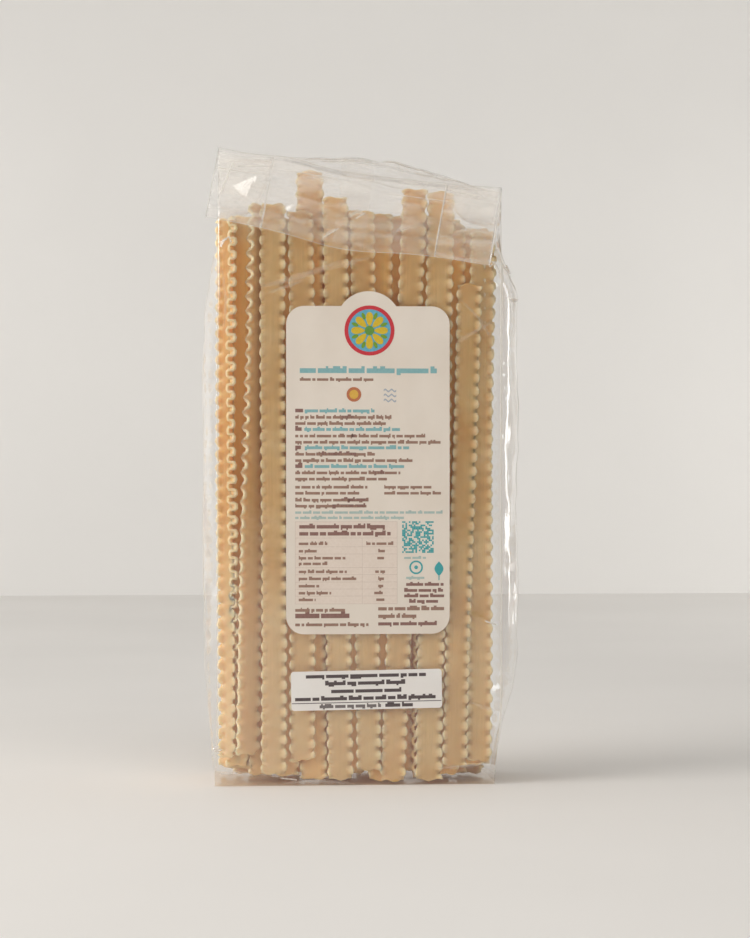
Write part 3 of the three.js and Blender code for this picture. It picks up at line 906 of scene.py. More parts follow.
# %% Film mesh
levels = np.concatenate([
    np.linspace(0, 1, BODY_LEVELS, endpoint=False),
    1 + np.linspace(0, 1, ROOF_LEVELS, endpoint=False),
    2 + np.linspace(0, 1, FOLD_LEVELS, endpoint=False),
    3 + np.linspace(0, 1, FLAP_LEVELS)])
flat = np.linspace(-HALF, HALF, 101)
side_share = np.linspace(0, 1, 25)[1:-1]


def film_tube():
    """The whole tube as a grid of points, one row a level, one column a place round it."""
    level = levels[:, None]
    columns = [
        tube_point(level, flat[None, :], 0.0),
        tube_point(level, side_column(1, side_share[None, :], level), side_share[None, :]),
        tube_point(level, flat[None, ::-1], 1.0),
        tube_point(level, side_column(-1, side_share[None, ::-1], level), side_share[None, ::-1]),
    ]
    return [np.concatenate(parts, axis=1) for parts in zip(*columns)]


def wrinkled(x, y, z):
    """Adds the film's relief to the tube's points, along their normals."""
    plain = np.stack([x, y, z], -1)
    around = np.roll(plain, -1, axis=1) - np.roll(plain, 1, axis=1)
    outward = np.cross(around, np.gradient(plain, axis=0))
    outward /= np.linalg.norm(outward, axis=2)[..., None] + 1e-9

    # which panel a point is on, and how far from the panel's edges and the foot
    panel = np.concatenate([np.full(len(flat), 0), np.full(len(side_share), 1),
                            np.full(len(flat), 2), np.full(len(side_share), 3)])[None, :]
    level = levels[:, None]
    body = 1 - smoothstep(0.96, 1.02, level)
    flat_edge = 1 - np.abs(flat / HALF) ** 12
    side_edge = np.sin(math.pi * side_share) ** 0.5
    at_edge = np.concatenate([flat_edge, side_edge, flat_edge, side_edge])[None, :]
    inner = at_edge * smoothstep(0, 0.04, level)
    slack = waviness(x, y, z, (14, 9, 34), 3.7)
    fine = waviness(x, y, z, (6, 5, 13), 11.2)
    crumples = crumple(x, y, z, (17, 30, 12), 5.1) + 0.5 * crumple(x, y, z, (8, 14, 6), 8.3)

    # the front sinks between the ribbons and has pulls, which the labels keep small under them
    between = -0.06 * (1 + over_ribbons(x, z))
    pulls = sum(ridge(x, z, *pull) for pull in FRONT_PULLS)
    clear_of_labels = smoothstep(209, 214, z) + smoothstep(38, 42, x) + 1 - smoothstep(-36, -32, x)
    front_relief = body * (between - 0.06 + 0.1 * slack - 0.12 * np.minimum(pulls, 1)
                           + 0.5 * np.clip(clear_of_labels, 0, 1) * pulls)
    side_relief = 0.8 * slack + 0.4 * fine + 0.7 * crumples
    side_relief = side_relief * (1 - 0.6 * smoothstep(1.0, 1.2, level))
    roof = smoothstep(0.97, 1.15, level) * (1 - smoothstep(1.9, 2.0, level))
    flap = smoothstep(2.9, 3.2, level)
    flap_pulls = sum(ridge(x, z, *pull) for pull in FLAP_PULLS)
    flap_relief = flap * (0.5 * slack + 0.15 * fine + 0.9 * crumples + 0.8 * flap_pulls - 0.3)
    relief = np.where(panel == 0, (front_relief + 0.5 * roof * crumples) * inner, 0)
    relief = relief + np.where(panel == 2, inner * body * (0.1 - 0.1 * slack), 0)
    relief = relief + np.where(panel == 2, roof * (0.9 * slack + 1.3 * crumples - 0.4), 0)
    relief = relief + np.where((panel % 2 == 1) & (level < 2), side_relief * inner, 0)
    plain = plain + outward * (relief * at_edge)[..., None]
    plain[..., 1] -= 0.5 * flap_relief * at_edge
    return plain


tube = wrinkled(*film_tube())
rows, columns = tube.shape[:2]
film = bag_piece("film_tube", [(tube.reshape(-1, 3), grid_faces(rows, columns, closed=True), {})],
                 FILM)

# the roof and the flap have been folded by hand, so their film is a little scuffed; it also carries a
# painted sheen and glow
film.data.materials.append(HANDLED_FILM)
HANDLED_FROM = 1.2  # level
handled = np.repeat(levels[:-1] >= HANDLED_FROM, columns).astype(np.int32)
film.data.polygons.foreach_set("material_index", handled)

# %% [markdown]
# ### Fold lines, the back seam and the block bottom
#
# Film turns white where it is creased hard and catches the light along the whole fold. Each fold
# line is a hair-thin round strip on the film, of a material that scatters more light: part of its
# white is the whitened crease and part is a painted highlight for the light that the fold catches.
# The same strips are the painted glints where smooth film catches the window. A strip gets thicker
# and thinner along its way, so that the glint comes and goes.

# %% Fold lines
FRONT_LEFT, FRONT_RIGHT = 0, len(flat) - 1
RIGHT_CREASE = len(flat) + len(side_share) // 2
BACK_RIGHT = len(flat) + len(side_share)
BACK_LEFT = BACK_RIGHT + len(flat) - 1
LEFT_CREASE = BACK_LEFT + 1 + len(side_share) // 2
BEAD_SIDES = 6


def on_film(level, column):
    """The film's point at a level and at a place round it, between the grid's points too."""
    row = np.interp(level, levels, np.arange(len(levels)))
    low_row, low_column = min(int(row), len(levels) - 2), int(column)
    corner = tube[low_row:low_row + 2, [low_column, (low_column + 1) % columns]]
    across = blend(corner[:, 0], corner[:, 1], column - low_column)
    return blend(across[0], across[1], row - low_row)


def bead(start, end, radius, steps=60, uneven=0.5):
    """A thin round strip over the film, from one (level, column) to another."""
    share = np.linspace(0, 1, steps)
    path = np.array([on_film(blend(start[0], end[0], t), blend(start[1], end[1], t)) for t in share])
    seed = 10 * start[1] + start[0]
    swell = np.array([noise.noise(Vector((t * 9, seed, 0))) for t in share.tolist()])
    ends = np.clip(12 * share, 0.3, 1) * np.clip(12 * (1 - share), 0.3, 1)
    thick = radius * (1 + uneven * swell) * ends
    forward = unit(np.gradient(path, axis=0))
    reference = np.where(np.abs(forward[:, 1:2]) < 0.9, [[0, 1, 0]], [[1, 0, 0]])
    side = unit(np.cross(forward, reference))
    other = np.cross(forward, side)
    around = np.linspace(0, 2 * math.pi, BEAD_SIDES, endpoint=False)
    ring = (np.cos(around)[None, :, None] * side[:, None, :]
            + np.sin(around)[None, :, None] * other[:, None, :])
    points = path[:, None, :] + ring * thick[:, None, None]
    faces = grid_faces(steps, BEAD_SIDES, closed=True)
    caps = np.array([(0, 3, 2, 1), (0, 5, 4, 3)])
    last = (steps - 1) * BEAD_SIDES
    return points.reshape(-1, 3), np.concatenate([faces, caps, caps[:, ::-1] + last]), {}


def front_spot(x, z):
    """Level and column of a place on the front panel."""
    return z / ROOF_START, (x + HALF) / (2 * HALF) * FRONT_RIGHT


def flap_spot(x, z):
    """Level and column of a place on the flap's outer face."""
    for _ in range(4):
        a = x
        down = (FOLD_HEIGHT + fold_line(a) - z) / (FOLD_HEIGHT + fold_line(a) - free_edge(a))
        a = x + FLAP_SHIFT * down
    return 3 + down, BACK_RIGHT + (HALF - a) / (2 * HALF) * FRONT_RIGHT


def roof_spot(x, share):
    """Level and column of a place on the roof, share going from its start to the fold."""
    return 1 + share, BACK_RIGHT + (HALF - x) / (2 * HALF) * FRONT_RIGHT


def side_spot(z, share):
    """Level and column of a place on the right side panel, share from its front to its back."""
    return z / ROOF_START, FRONT_RIGHT + share * (BACK_RIGHT - FRONT_RIGHT)


# start, end, radius, steps and unevenness of each painted glint, a whitish strip where the film catches
# the window, by the part of the film that it is on
GLINTS = {
    roof_spot: [
        ((-24, 0.86), (-4, 0.8), 0.3, 30, 0.9), ((-17, 0.93), (2, 0.9), 0.26, 30, 0.9),
        ((2, 0.62), (20, 0.58), 0.22, 30, 0.9), ((10, 0.84), (32, 0.88), 0.32, 30, 0.9),
        ((24, 0.74), (41, 0.8), 0.24, 30, 0.9), ((36, 0.9), (56, 0.94), 0.3, 30, 0.9),
        ((-56, 0.9), (-36, 0.88), 0.2, 30, 0.9),
    ],
    side_spot: [
        ((222, 0.0), (218.5, 0.25), 0.28, 20, 0.7), ((218.5, 0.25), (211, 0.42), 0.24, 20, 0.7),
        ((222, 0.03), (196, 0.05), 0.24, 40, 0.9), ((236, 0.3), (222, 0.2), 0.2, 30, 0.9),
        ((234, 0.12), (219, 0.34), 0.16, 30, 0.9),
    ],
    front_spot: [
        ((54.2, 222.4), (57.6, 221.4), 0.4, 14, 0.9), ((55.0, 219.6), (57.8, 222.0), 0.34, 14, 0.9),
        ((57.2, 221.4), (59.6, 216.0), 0.36, 18, 0.9),
        ((-58.4, 229.5), (-55.2, 231.8), 0.4, 16, 0.9),
        ((-55.4, 231.9), (-54.3, 229.2), 0.3, 12, 0.9),
        ((-58.8, 227.4), (-57.2, 230.4), 0.32, 12, 0.9),
        ((-59.4, 224), (-59.2, 205), 0.14, 40, 0.9), ((53, 69.5), (58, 67.8), 0.34, 16, 0.6),
        ((-60.6, 15.2), (-57.4, 15.6), 0.4, 14, 0.8), ((-57.8, 5.9), (-52.8, 5.6), 0.34, 16, 0.8),
        ((-33, 3.4), (-26, 2.6), 0.3, 16, 0.8),
    ],
    flap_spot: [
        ((-59, 250), (-53.5, 263), 0.24, 24, 0.8), ((-16, 232.6), (-9.3, 236), 0.24, 20, 0.8),
        ((-2.2, 239.8), (2.1, 242.3), 0.22, 16, 0.8), ((10, 250.4), (38, 247), 0.14, 40, 0.9),
        ((-34, 259.5), (-8, 256.5), 0.14, 40, 0.9),
    ],
}
beads = [bead(spot(*start), spot(*end), radius, steps, uneven)
         for spot, rows in GLINTS.items() for start, end, radius, steps, uneven in rows]

# the edges and creases of the flap, then the fold, the free edge and a pleat beside the corner
FOLD_TOP = 2.45
beads += [
    bead((3.0, BACK_RIGHT), (4.0, BACK_RIGHT), 0.3, uneven=0.3),
    bead((3.0, BACK_LEFT), (4.0, BACK_LEFT), 0.14),
    bead((2.0, RIGHT_CREASE), (4.0, RIGHT_CREASE), 0.22, uneven=0.4),
    bead((2.0, LEFT_CREASE), (3.9, LEFT_CREASE), 0.13),
    bead((FOLD_TOP, BACK_RIGHT), (FOLD_TOP, BACK_LEFT), 0.16, steps=120),
    bead((4.0, BACK_RIGHT), (4.0, BACK_LEFT), 0.1, steps=120),
    bead((3.24, BACK_LEFT), (3.22, BACK_LEFT - 17), 0.14),
]

# the six upright edges and creases of the body, by how thick each is
UPRIGHT = {FRONT_RIGHT: 0.26, FRONT_LEFT: 0.1, RIGHT_CREASE: 0.1, LEFT_CREASE: 0.1,
           BACK_RIGHT: 0.12, BACK_LEFT: 0.12}
beads += [bead((0.02, column), (1.0, column), radius, steps=160, uneven=0.9)
          for column, radius in UPRIGHT.items()]
bag_piece("film_fold_lines_and_painted_glints", beads, CREASE_AND_GLINT_FILM)

# %% [markdown]
# Where film is pulled or crumpled its wrinkles catch the window in soft pale bands. These are
# painted sheen: flat whitish strips that lie on the film. Each point carries how milky the strip
# is there, from 1 in the middle to 0 at the edge, so that a band fades out instead of ending in a
# line.

# %% Streaks of painted sheen
ROOF_OUT = (0, -0.5, 0.85)
SIDE_OUT = (0.7, -0.7, 0)
STREAK_STEPS = 26


def streak(spots, width, milk=1.0, outward=(0, -1, 0)):
    """A soft band on the film through some (level, column) spots, width mm at its widest."""
    stops = np.linspace(0, 1, len(spots))
    share = np.linspace(0, 1, STREAK_STEPS)
    way = [(np.interp(t, stops, [spot[0] for spot in spots]),
            np.interp(t, stops, [spot[1] for spot in spots])) for t in share]
    path = np.array([on_film(*spot) for spot in way])
    path = path + 0.15 * np.array(outward)
    side = unit(np.cross(np.gradient(path, axis=0), outward))
    uneven = np.array([noise.noise(Vector((t * 6, width, spots[0][1]))) for t in share.tolist()])
    half = width / 2 * np.sin(math.pi * share) ** 0.5 * (1 + 0.5 * uneven)
    across = np.array([-1, -0.5, 0, 0.5, 1])[None, :, None]
    points = path[:, None, :] + across * (side * half[:, None])[:, None, :]
    points += (0.12 * (1 - across ** 2)) * np.array(outward)
    fading = np.array([0, 0.7, 1, 0.7, 0])[None, :] * np.sin(math.pi * share)[:, None] ** 0.6
    return points.reshape(-1, 3), grid_faces(STREAK_STEPS, 5), {"milk": milk * fading.ravel()}


def front_way(*pixels):
    """Spots on the front panel from (column, row) places of the photograph."""
    return [front_spot(column_x(column), row_height(row)) for column, row in pixels]


def flap_way(*pixels):
    """Spots on the flap from (column, row) places of the photograph."""
    return [flap_spot(column_x(column), row_height(row)) for column, row in pixels]


# places, width and milkiness of each streak
FRONT_STREAKS = [
    (((258, 288), (300, 277), (350, 259)), 3.4, 0.55), (((266, 294), (288, 286), (304, 281)), 2.2, 0.5),
    (((330, 270), (352, 262), (370, 257)), 2.2, 0.45), (((455, 343), (476, 331), (493, 321)), 2.2, 0.45),
    (((462, 300), (480, 318), (494, 342)), 1.6, 0.4), (((222, 268), (226, 300), (224, 330)), 1.6, 0.5),
    (((470, 702), (484, 708), (497, 712)), 1.8, 0.5), (((440, 769), (470, 767), (496, 764)), 2.0, 0.7),
    (((283, 783), (318, 781), (356, 784)), 2.2, 0.8), (((222, 774), (236, 771), (252, 773)), 2.4, 0.8),
    (((213, 750), (219, 747), (224, 750)), 2.6, 1.0),
]
FLAP_STREAKS = [
    (((226, 168), (252, 167), (278, 168)), 2.0, 1.0), (((232, 206), (244, 196), (256, 180)), 2.2, 0.6),
    (((320, 240), (329, 230), (340, 227)), 1.8, 1.0), (((346, 217), (357, 211), (366, 215)), 2.4, 1.0),
    (((384, 238), (400, 229), (416, 226)), 3.0, 0.8), (((284, 214), (300, 220), (322, 218)), 2.4, 0.6),
    (((450, 236), (466, 228), (488, 232)), 2.6, 0.6), (((392, 176), (410, 179), (430, 184)), 3.4, 1.0),
    (((440, 189), (464, 192), (488, 199)), 3.4, 1.0), (((300, 178), (322, 178), (344, 182)), 3.0, 0.8),
]
ROOF_STREAKS = [
    (((-12, 0.93), (8, 0.92), (33, 0.94)), 3.4, 1.0), (((6, 0.84), (30, 0.87), (54, 0.95)), 3.0, 1.0),
    (((-34, 0.94), (-16, 0.9), (2, 0.86)), 2.6, 0.8), (((-56, 0.9), (-46, 0.92), (-34, 0.93)), 2.4, 0.8),
    (((30, 0.97), (44, 0.97), (57, 0.98)), 2.2, 1.0),
]
milky = [streak(front_way(*way), width, milk) for way, width, milk in FRONT_STREAKS]
milky.append(streak([side_spot(216, 0.2), side_spot(205, 0.3), side_spot(190, 0.28)], 4.0, 0.5, SIDE_OUT))
milky += [streak(flap_way(*way), width, milk) for way, width, milk in FLAP_STREAKS]
milky += [streak([roof_spot(*place) for place in way], width, milk, ROOF_OUT)
          for way, width, milk in ROOF_STREAKS]
bag_piece("film_painted_sheen_streaks", milky, SHEEN_STREAK_FILM)

# %% [markdown]
# A few crinkled spots flash white in the photo. There the film stands in fine ridges whose
# flanks all face the same way, and mirror the window to a viewer in front. A white patch would
# stay white from every side, so each spot is a three-cornered fan of narrow slats, all turned
# half way between the window and a viewer in front, and flashes only from there.

# %% Crinkled facets
HALF_WAY_TO_WINDOW = np.array([-0.499, -0.836, 0.229])
FACET_RISE = 0.5 * np.array([0.2, -0.9, 0.2])  # how far a facet stands off the film


def facet(spots, slats=7):
    """A three-cornered crinkled spot on the film, from three (level, column) spots."""
    corners = np.array([on_film(*spot) for spot in spots])
    normal = unit(np.cross(corners[1] - corners[0], corners[2] - corners[0]))
    along = unit(np.cross(normal, HALF_WAY_TO_WINDOW))
    sideways = np.cross(normal, along)
    s, r = corners @ sideways, corners @ along
    order = np.argsort(s)
    s, r = s[order], r[order]
    spacing = (s[2] - s[0]) / slats
    lean = np.cross(HALF_WAY_TO_WINDOW, along) * 0.6 * spacing
    points, faces = [], []
    for middle in s[0] + spacing * (np.arange(slats) + 0.5):
        first = len(points)
        for end in (np.interp(middle, s, r), np.interp(middle, s[[0, 2]], r[[0, 2]])):
            spot = middle * sideways + end * along + (corners[0] @ normal) * normal
            points += [spot - lean, spot + lean]
        faces.append((first, first + 1, first + 3, first + 2))
    return np.array(points) + FACET_RISE, np.array(faces), {}


crinkled = [
    facet(flap_way((233, 187), (257, 176.5), (244.5, 197.5))),
    facet([side_spot(219.8, 0.08), side_spot(221.4, 0.34), side_spot(217.8, 0.4)], slats=16),
    facet([side_spot(207.0, 0.1), side_spot(207.2, 0.42), side_spot(205.4, 0.34)], slats=14),
    facet(flap_way((283, 209), (292, 203), (289, 210)), slats=4),
    facet(front_way((218, 244), (225, 240), (221, 249)), slats=4),
]
bag_piece("film_facets", crinkled, CRINKLED_FILM)

# %% [markdown]
# The tube is welded up the middle of its back: a strip 15 mm wide, one more layer of film. It
# takes its points from the back panel, so that it follows every wave of it.

# %% Back seam
SEAM_HALF = 7.6
SEAM_RISE = 0.3
seam_columns = BACK_RIGHT + np.flatnonzero(np.abs(flat[::-1] + 0.5) < SEAM_HALF)
seam = tube[:, seam_columns]
outward = unit(np.cross(np.gradient(seam, axis=0), np.gradient(seam, axis=1)))
bag_piece("film_back_seam",
          [((seam + SEAM_RISE * outward).reshape(-1, 3), grid_faces(*seam.shape[:2]), {})],
          HANDLED_FILM)

# %% [markdown]
# The bottom is the tube's end folded like a parcel: a flat sheet, two wide folds that overlap
# in the middle, and a triangle at each end. Folding one sheet in a simulation would give the
# same five layers, so each layer is a sheet of its own, a third of a millimetre over the last.

# %% Block bottom
def bottom_sheet(corners, height, steps=14):
    """A slightly wavy four-sided sheet of film, lying flat."""
    a, b, c, d = (np.array(corner, float) for corner in corners)
    u = np.linspace(0, 1, steps)[None, :, None]
    v = np.linspace(0, 1, steps)[:, None, None]
    spot = blend(blend(a, b, u), blend(d, c, u), v)
    waves = waviness(spot[..., 0], spot[..., 1], spot[..., 0] * 0, (12, 9, 1), 5 * height)
    lift = height + 0.12 * waves
    points = np.concatenate([spot, np.maximum(lift, 0.05)[..., None]], -1)
    return points.reshape(-1, 3), grid_faces(steps, steps), {}


LOW_FRONT, LOW_BACK = FRONT + 2, BACK - 2
FLAP_HALF = 36  # half of the length of a wide fold's inner edge
front_edge = [(-LEFT_BASE, LOW_FRONT), (HALF_BASE, LOW_FRONT)]
back_edge = [(HALF_BASE, LOW_BACK), (-LEFT_BASE, LOW_BACK)]
sheets = [
    bottom_sheet(front_edge + back_edge, 0.2, 24),
    bottom_sheet(front_edge + [(FLAP_HALF, MIDDLE + 6), (-FLAP_HALF, MIDDLE + 6)], 0.55),
    bottom_sheet([(-FLAP_HALF, MIDDLE - 5), (FLAP_HALF, MIDDLE - 5)] + back_edge, 0.85),
]
for edge, tip in ((-LEFT_BASE, -37), (HALF_BASE, 37)):
    sheets.append(bottom_sheet([(edge, LOW_FRONT), (edge, LOW_BACK),
                                (tip, MIDDLE + 1), (tip, MIDDLE - 1)], 1.15))
bag_piece("film_block_bottom", sheets, BASE_FILM)

# %% [markdown]
# ## Labels
#
# The labels are satin paper stuck on the film. They follow the ribbons under them by less than
# a tenth of a millimetre, which is enough to shade them in faint upright bands. A sheet is made
# from rows, each from its left to its right edge, so that round corners and the badge's bump
# come out as cut and every part of it can follow those waves.

# %% Label surface and paper
def label_y(x, z):
    """Depth of a label's face, over the ribbons and the gaps between them."""
    return LABEL_FACE + 0.03 * over_ribbons(x, z)


def paper(name, hex_low, hex_high):
    """Uncoated label paper: a cloudy sheet of short fibres with a faint sheen."""
    material, tree = new_material(name)
    colour = cloudy_colour(tree, 60.0, 4.0, (0.35, hex_low), (0.65, hex_high))
    place = add_node(tree, "ShaderNodeTexCoord").outputs["Object"]
    fibres = add_node(tree, "ShaderNodeTexNoise", {"Vector": place, "Scale": 2200.0, "Detail": 2.0})
    bump = add_node(tree, "ShaderNodeBump", {
        "Height": fibres.outputs["Fac"], "Strength": 0.2, "Distance": 0.03 * MM})
    shader = add_node(tree, "ShaderNodeBsdfPrincipled", {
        "Base Color": colour, "Roughness": 0.48, "IOR": 1.5, "Normal": bump.outputs[0]})
    finish_material(tree, shader.outputs[0])
    return material


PAPER_THICKNESS = 0.12


def sheet_mesh(patches, near=0.0, far=PAPER_THICKNESS, place=lambda x, z: (x, z)):
    """A sheet from patches of rows (z, left x, right x).

    near and far are how deep its two faces lie behind the labels' printed side, and place moves
    its points over the front.
    """
    parts = []
    for patch in patches:
        z, left, right = (np.array(column, float)[:, None] for column in zip(*patch))
        share = np.linspace(0, 1, 48)[None, :]
        x, z = np.broadcast_arrays(blend(left, right, share), z)
        x, z = place(x, z)
        y = label_y(x, z)
        face = np.stack([x, y + near, z], -1)
        rear = np.stack([x, y + far, z], -1)
        rows, columns = x.shape
        index = np.arange(rows * columns).reshape(rows, columns)
        rim = np.concatenate([index[0], index[1:, -1], index[-1, -2::-1], index[-2:0:-1, 0]])
        total = rows * columns
        front_faces = grid_faces(rows, columns)
        rim_faces = np.stack([np.roll(rim, -1), rim, rim + total, np.roll(rim, -1) + total], 1)
        faces = np.concatenate([front_faces, front_faces[:, ::-1] + total, rim_faces])
        parts.append((np.concatenate([face.reshape(-1, 3), rear.reshape(-1, 3)]), faces, {}))
    return joined(parts)[:2]


def paper_sheet(name, patches, material, cad_node, slot, **more):
    """A label's sheet, which stands for its CAD plate."""
    points, faces = sheet_mesh(patches, **more)
    sheet = mesh_piece(name, points, faces, material, smooth=False)
    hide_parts(cad_node)


def rounded_rows(x_low, x_high, z_low, z_high, corner, steps=10, middle=12):
    """Rows of a rectangle with round corners."""
    angles = [math.pi / 2 * i / steps for i in range(steps + 1)]
    arc = [(corner * (1 - math.cos(angle)), corner * (1 - math.sin(angle))) for angle in angles]
    rows = [(z_low + rise, x_low + inset, x_high - inset) for rise, inset in arc]
    rows += [(blend(z_low + corner, z_high - corner, i / middle), x_low, x_high)
             for i in range(1, middle)]
    return rows + [(z_high - rise, x_low + inset, x_high - inset) for rise, inset in arc[::-1]]


# %% Big label
LABEL_X = (-31.3, 37.9)
LABEL_Z = (64.2, 202.7)
LABEL_CORNER = 7.6
BADGE_X = 3.6
BADGE_Z = 195.2
BUMP_RADIUS = 13.8
BUMP_STEPS = 14
bump_rows = []
for i in range(BUMP_STEPS + 1):
    angle = blend(math.asin((LABEL_Z[1] - BADGE_Z) / BUMP_RADIUS), math.pi / 2, i / BUMP_STEPS)
    reach = BUMP_RADIUS * math.cos(angle)
    bump_rows.append((BADGE_Z + BUMP_RADIUS * math.sin(angle), BADGE_X - reach, BADGE_X + reach))
paper_sheet("main_label_sheet", [rounded_rows(*LABEL_X, *LABEL_Z, LABEL_CORNER), bump_rows],
            paper("beige_satin_label_paper", "#e6dbce", "#eae0d4"), "main_label", "label_paper")

# %% Small label
SMALL_CENTRE = (2.7, 40.65)
SMALL_SIZE = (63.8, 16.5)
SMALL_CORNER = 1.3
SMALL_TILT = math.radians(0.9)


def tilted(x, z):
    """A place on the small label, turned with it about its middle."""
    cos, sin = math.cos(SMALL_TILT), math.sin(SMALL_TILT)
    return (SMALL_CENTRE[0] + x * cos - z * sin, SMALL_CENTRE[1] + x * sin + z * cos)


small_half, small_rise = SMALL_SIZE[0] / 2, SMALL_SIZE[1] / 2
paper_sheet("small_label_sheet",
            [rounded_rows(-small_half, small_half, -small_rise, small_rise, SMALL_CORNER,
                          steps=5, middle=5)],
            paper("white_label_paper", "#eeeae6", "#f1eeea"), "small_label", "white_paper",
            place=tilted)

# %% [markdown]
# ## Print
#
# Print is thin ink, so each colour is one piece of very thin flat shapes that lie on the paper.
# A picture on the paper's material would do as well, but shapes stay sharp however close the
# camera comes. The places of words hold plain bars: a bar for each word, with higher and lower
# steps as letters would have, but no letters. The badge's place holds a plain flower in a ring.

# %% Ink
INK_RISE = 0.05  # ink is thinner, but must not flicker with the paper under it
INK_FOOT = 0.02  # how far the ink's rear side reaches into the paper


def ink(name, hex_low, hex_high):
    """Offset ink on paper: nearly flat colour, a little uneven where the paper drinks it."""
    material, tree = new_material(name)
    colour = cloudy_colour(tree, 900.0, 2.0, (0.35, hex_low), (0.65, hex_high))
    shader = add_node(tree, "ShaderNodeBsdfPrincipled", {
        "Base Color": colour, "Roughness": 0.42, "IOR": 1.5})
    finish_material(tree, shader.outputs[0])
    return material


def printed(name, shapes, material, place=lambda x, z: (x, z), rise=INK_RISE):
    """One colour of print, from closed outlines of (x, z) in mm, counter-clockwise."""
    points, faces = [], []
    for shape in shapes:
        outline = np.array(shape, float)
        x, z = place(outline[:, 0], outline[:, 1])
        y = label_y(x, z)
        start, count = len(points), len(outline)
        points += np.stack([x, y - rise, z], 1).tolist()
        points += np.stack([x, y + INK_FOOT, z], 1).tolist()
        near = list(range(start, start + count))
        far = list(range(start + count, start + 2 * count))
        faces.append(tuple(near))
        faces.append(tuple(far[::-1]))
        for i in range(count):
            after = (i + 1) % count
            faces.append((near[after], near[i], far[i], far[after]))
    mesh_piece(name, np.array(points), faces, material, smooth=False)


def field(name, rows, material, rise=INK_RISE):
    """A large printed field, from rows (z, left x, right x), which follows the paper's waves."""
    points, faces = sheet_mesh([rows], near=-rise, far=INK_FOOT)
    mesh_piece(name, points, faces, material, smooth=False)


# %% Printed shapes
def box_shape(left, right, low, high):
    return [(left, low), (right, low), (right, high), (left, high)]


def rule(left, right, height, thickness):
    """A thin line in short lengths, so that it follows the paper's waves."""
    stops = np.linspace(left, right, int((right - left) / 2) + 2)
    low, high = height - thickness / 2, height + thickness / 2
    return [box_shape(a, b, low, high) for a, b in zip(stops, stops[1:])]


def circle(x, z, radius, points):
    angles = np.linspace(0, 2 * math.pi, points, endpoint=False)
    return [(x + radius * math.cos(a), z + radius * math.sin(a)) for a in angles]


def ring_shapes(x, z, inner, outer, points=40):
    """A ring as a band of four-sided shapes."""
    far, near = circle(x, z, outer, points), circle(x, z, inner, points)
    shapes = []
    for i in range(points):
        after = (i + 1) % points
        shapes.append([far[i], far[after], near[after], near[i]])
    return shapes


def word_bars(left, right, base, height, mark, gap):
    """A line of bars standing for words, from left to right.

    height is that of the low steps, mark the width of a letter's step, and gap that of a space.
    """
    shapes = []
    x = left
    while x < right - mark:
        letters = int(random.integers(2, 10))
        for _ in range(letters):
            width = mark * random.choice([0.75, 1.0, 1.25, 1.5])
            if x + width > right:
                return shapes
            step = random.choice([0, 1, 2], p=[0.76, 0.16, 0.08])
            top = base + height * (1.45 if step == 1 else 1.0)
            bottom = base - (0.4 * height if step == 2 else 0)
            shapes.append(box_shape(x, x + width, bottom, top))
            x += width
        x += gap + 0.45
    return shapes


# %% [markdown]
# ### Lines of words on the big label
#
# Each line is given as it was measured: the columns of the photograph where it starts and ends,
# and its row. From there on it is in mm. Four inks print the lines, so the bars are gathered by
# ink, and each ink becomes one piece.

# %% Big label lines
lines = {"brown": [], "bold": [], "teal": [], "pale": []}


def words(colour, start, end, row, height, mark, gap=0.22):
    """Adds a line of bars between two columns of the photograph, on one of its rows."""
    lines[colour] += word_bars(column_x(start), column_x(end), row_height(row), height, mark, gap)


words("teal", 299.5, 438, 373.2, 2.0, 1.35, 0.42)
words("brown", 299.5, 376, 381, 1.05, 0.66)
for row, bold_to, teal_from, end in [(412.5, 303, 304.5, 375), (431, 302.5, 304, 400),
                                     (449.3, 303, 304.5, 409), (468, 302.5, 304.5, 405)]:
    words("bold", 295, bold_to, row, 1.5, 1.2, 0.2)
    words("teal", teal_from, end, row, 1.2, 0.72)
for row, end in [(418.8, 392), (425, 386), (437.5, 427), (443.7, 443), (455.7, 375), (462, 414),
                 (474.3, 402), (480.5, 388), (488.6, 368), (494.6, 360), (501.5, 370), (507.5, 367)]:
    words("brown", 295, end, row, 1.1, 0.64)
for row, start, end in [(418.7, 340, 354), (437.4, 351, 357), (455.6, 316, 357),
                        (474.2, 373, 385), (501.4, 341, 369), (507.4, 332, 366)]:
    words("bold", start, end, row, 1.25, 0.95, 0.15)
for row, end in [(488.6, 432), (494.6, 442)]:
    words("brown", 384, end, row, 1.05, 0.62)
for row, end in [(513.7, 443), (519, 405)]:
    words("pale", 295, end, row, 0.95, 0.6)
for row, end in [(528.5, 387), (535.5, 391)]:
    words("bold", 299, end, row, 1.45, 0.95)
for row, end in [(545, 328), (552.4, 319), (559.4, 346), (565, 329), (573, 347), (580, 357),
                 (587.3, 321), (594.3, 331), (601, 316)]:
    words("brown", 298.5, end, row, 1.05, 0.6)
for row, start, end in [(545, 366, 394), (552.4, 378, 385), (559.4, 377, 385), (573, 375, 385),
                        (580, 378, 385), (587.3, 378, 385), (594.3, 374, 385), (601, 376, 385)]:
    words("brown", start, end, row, 1.05, 0.6)
for row, start, end in [(586, 406, 444), (592, 404, 445), (597.5, 404, 445), (603, 409, 440)]:
    words("bold", start, end, row, 1.15, 0.85, 0.16)
words("bold", 295, 352, 618, 1.9, 1.2)
words("bold", 378, 438, 625.5, 1.3, 0.9, 0.18)
for start, end, row in [(295, 348, 611.5), (295, 369, 626)]:
    words("brown", start, end, row, 1.15, 0.66)
for start, end, row in [(378, 446, 610.5), (378, 419, 618)]:
    words("brown", start, end, row, 1.35, 0.8)
for start, end, row in [(404, 428, 559), (406, 426, 579)]:
    words("pale", start, end, row, 0.85, 0.75)
print("bars in each ink:", {colour: len(bars) for colour, bars in lines.items()})

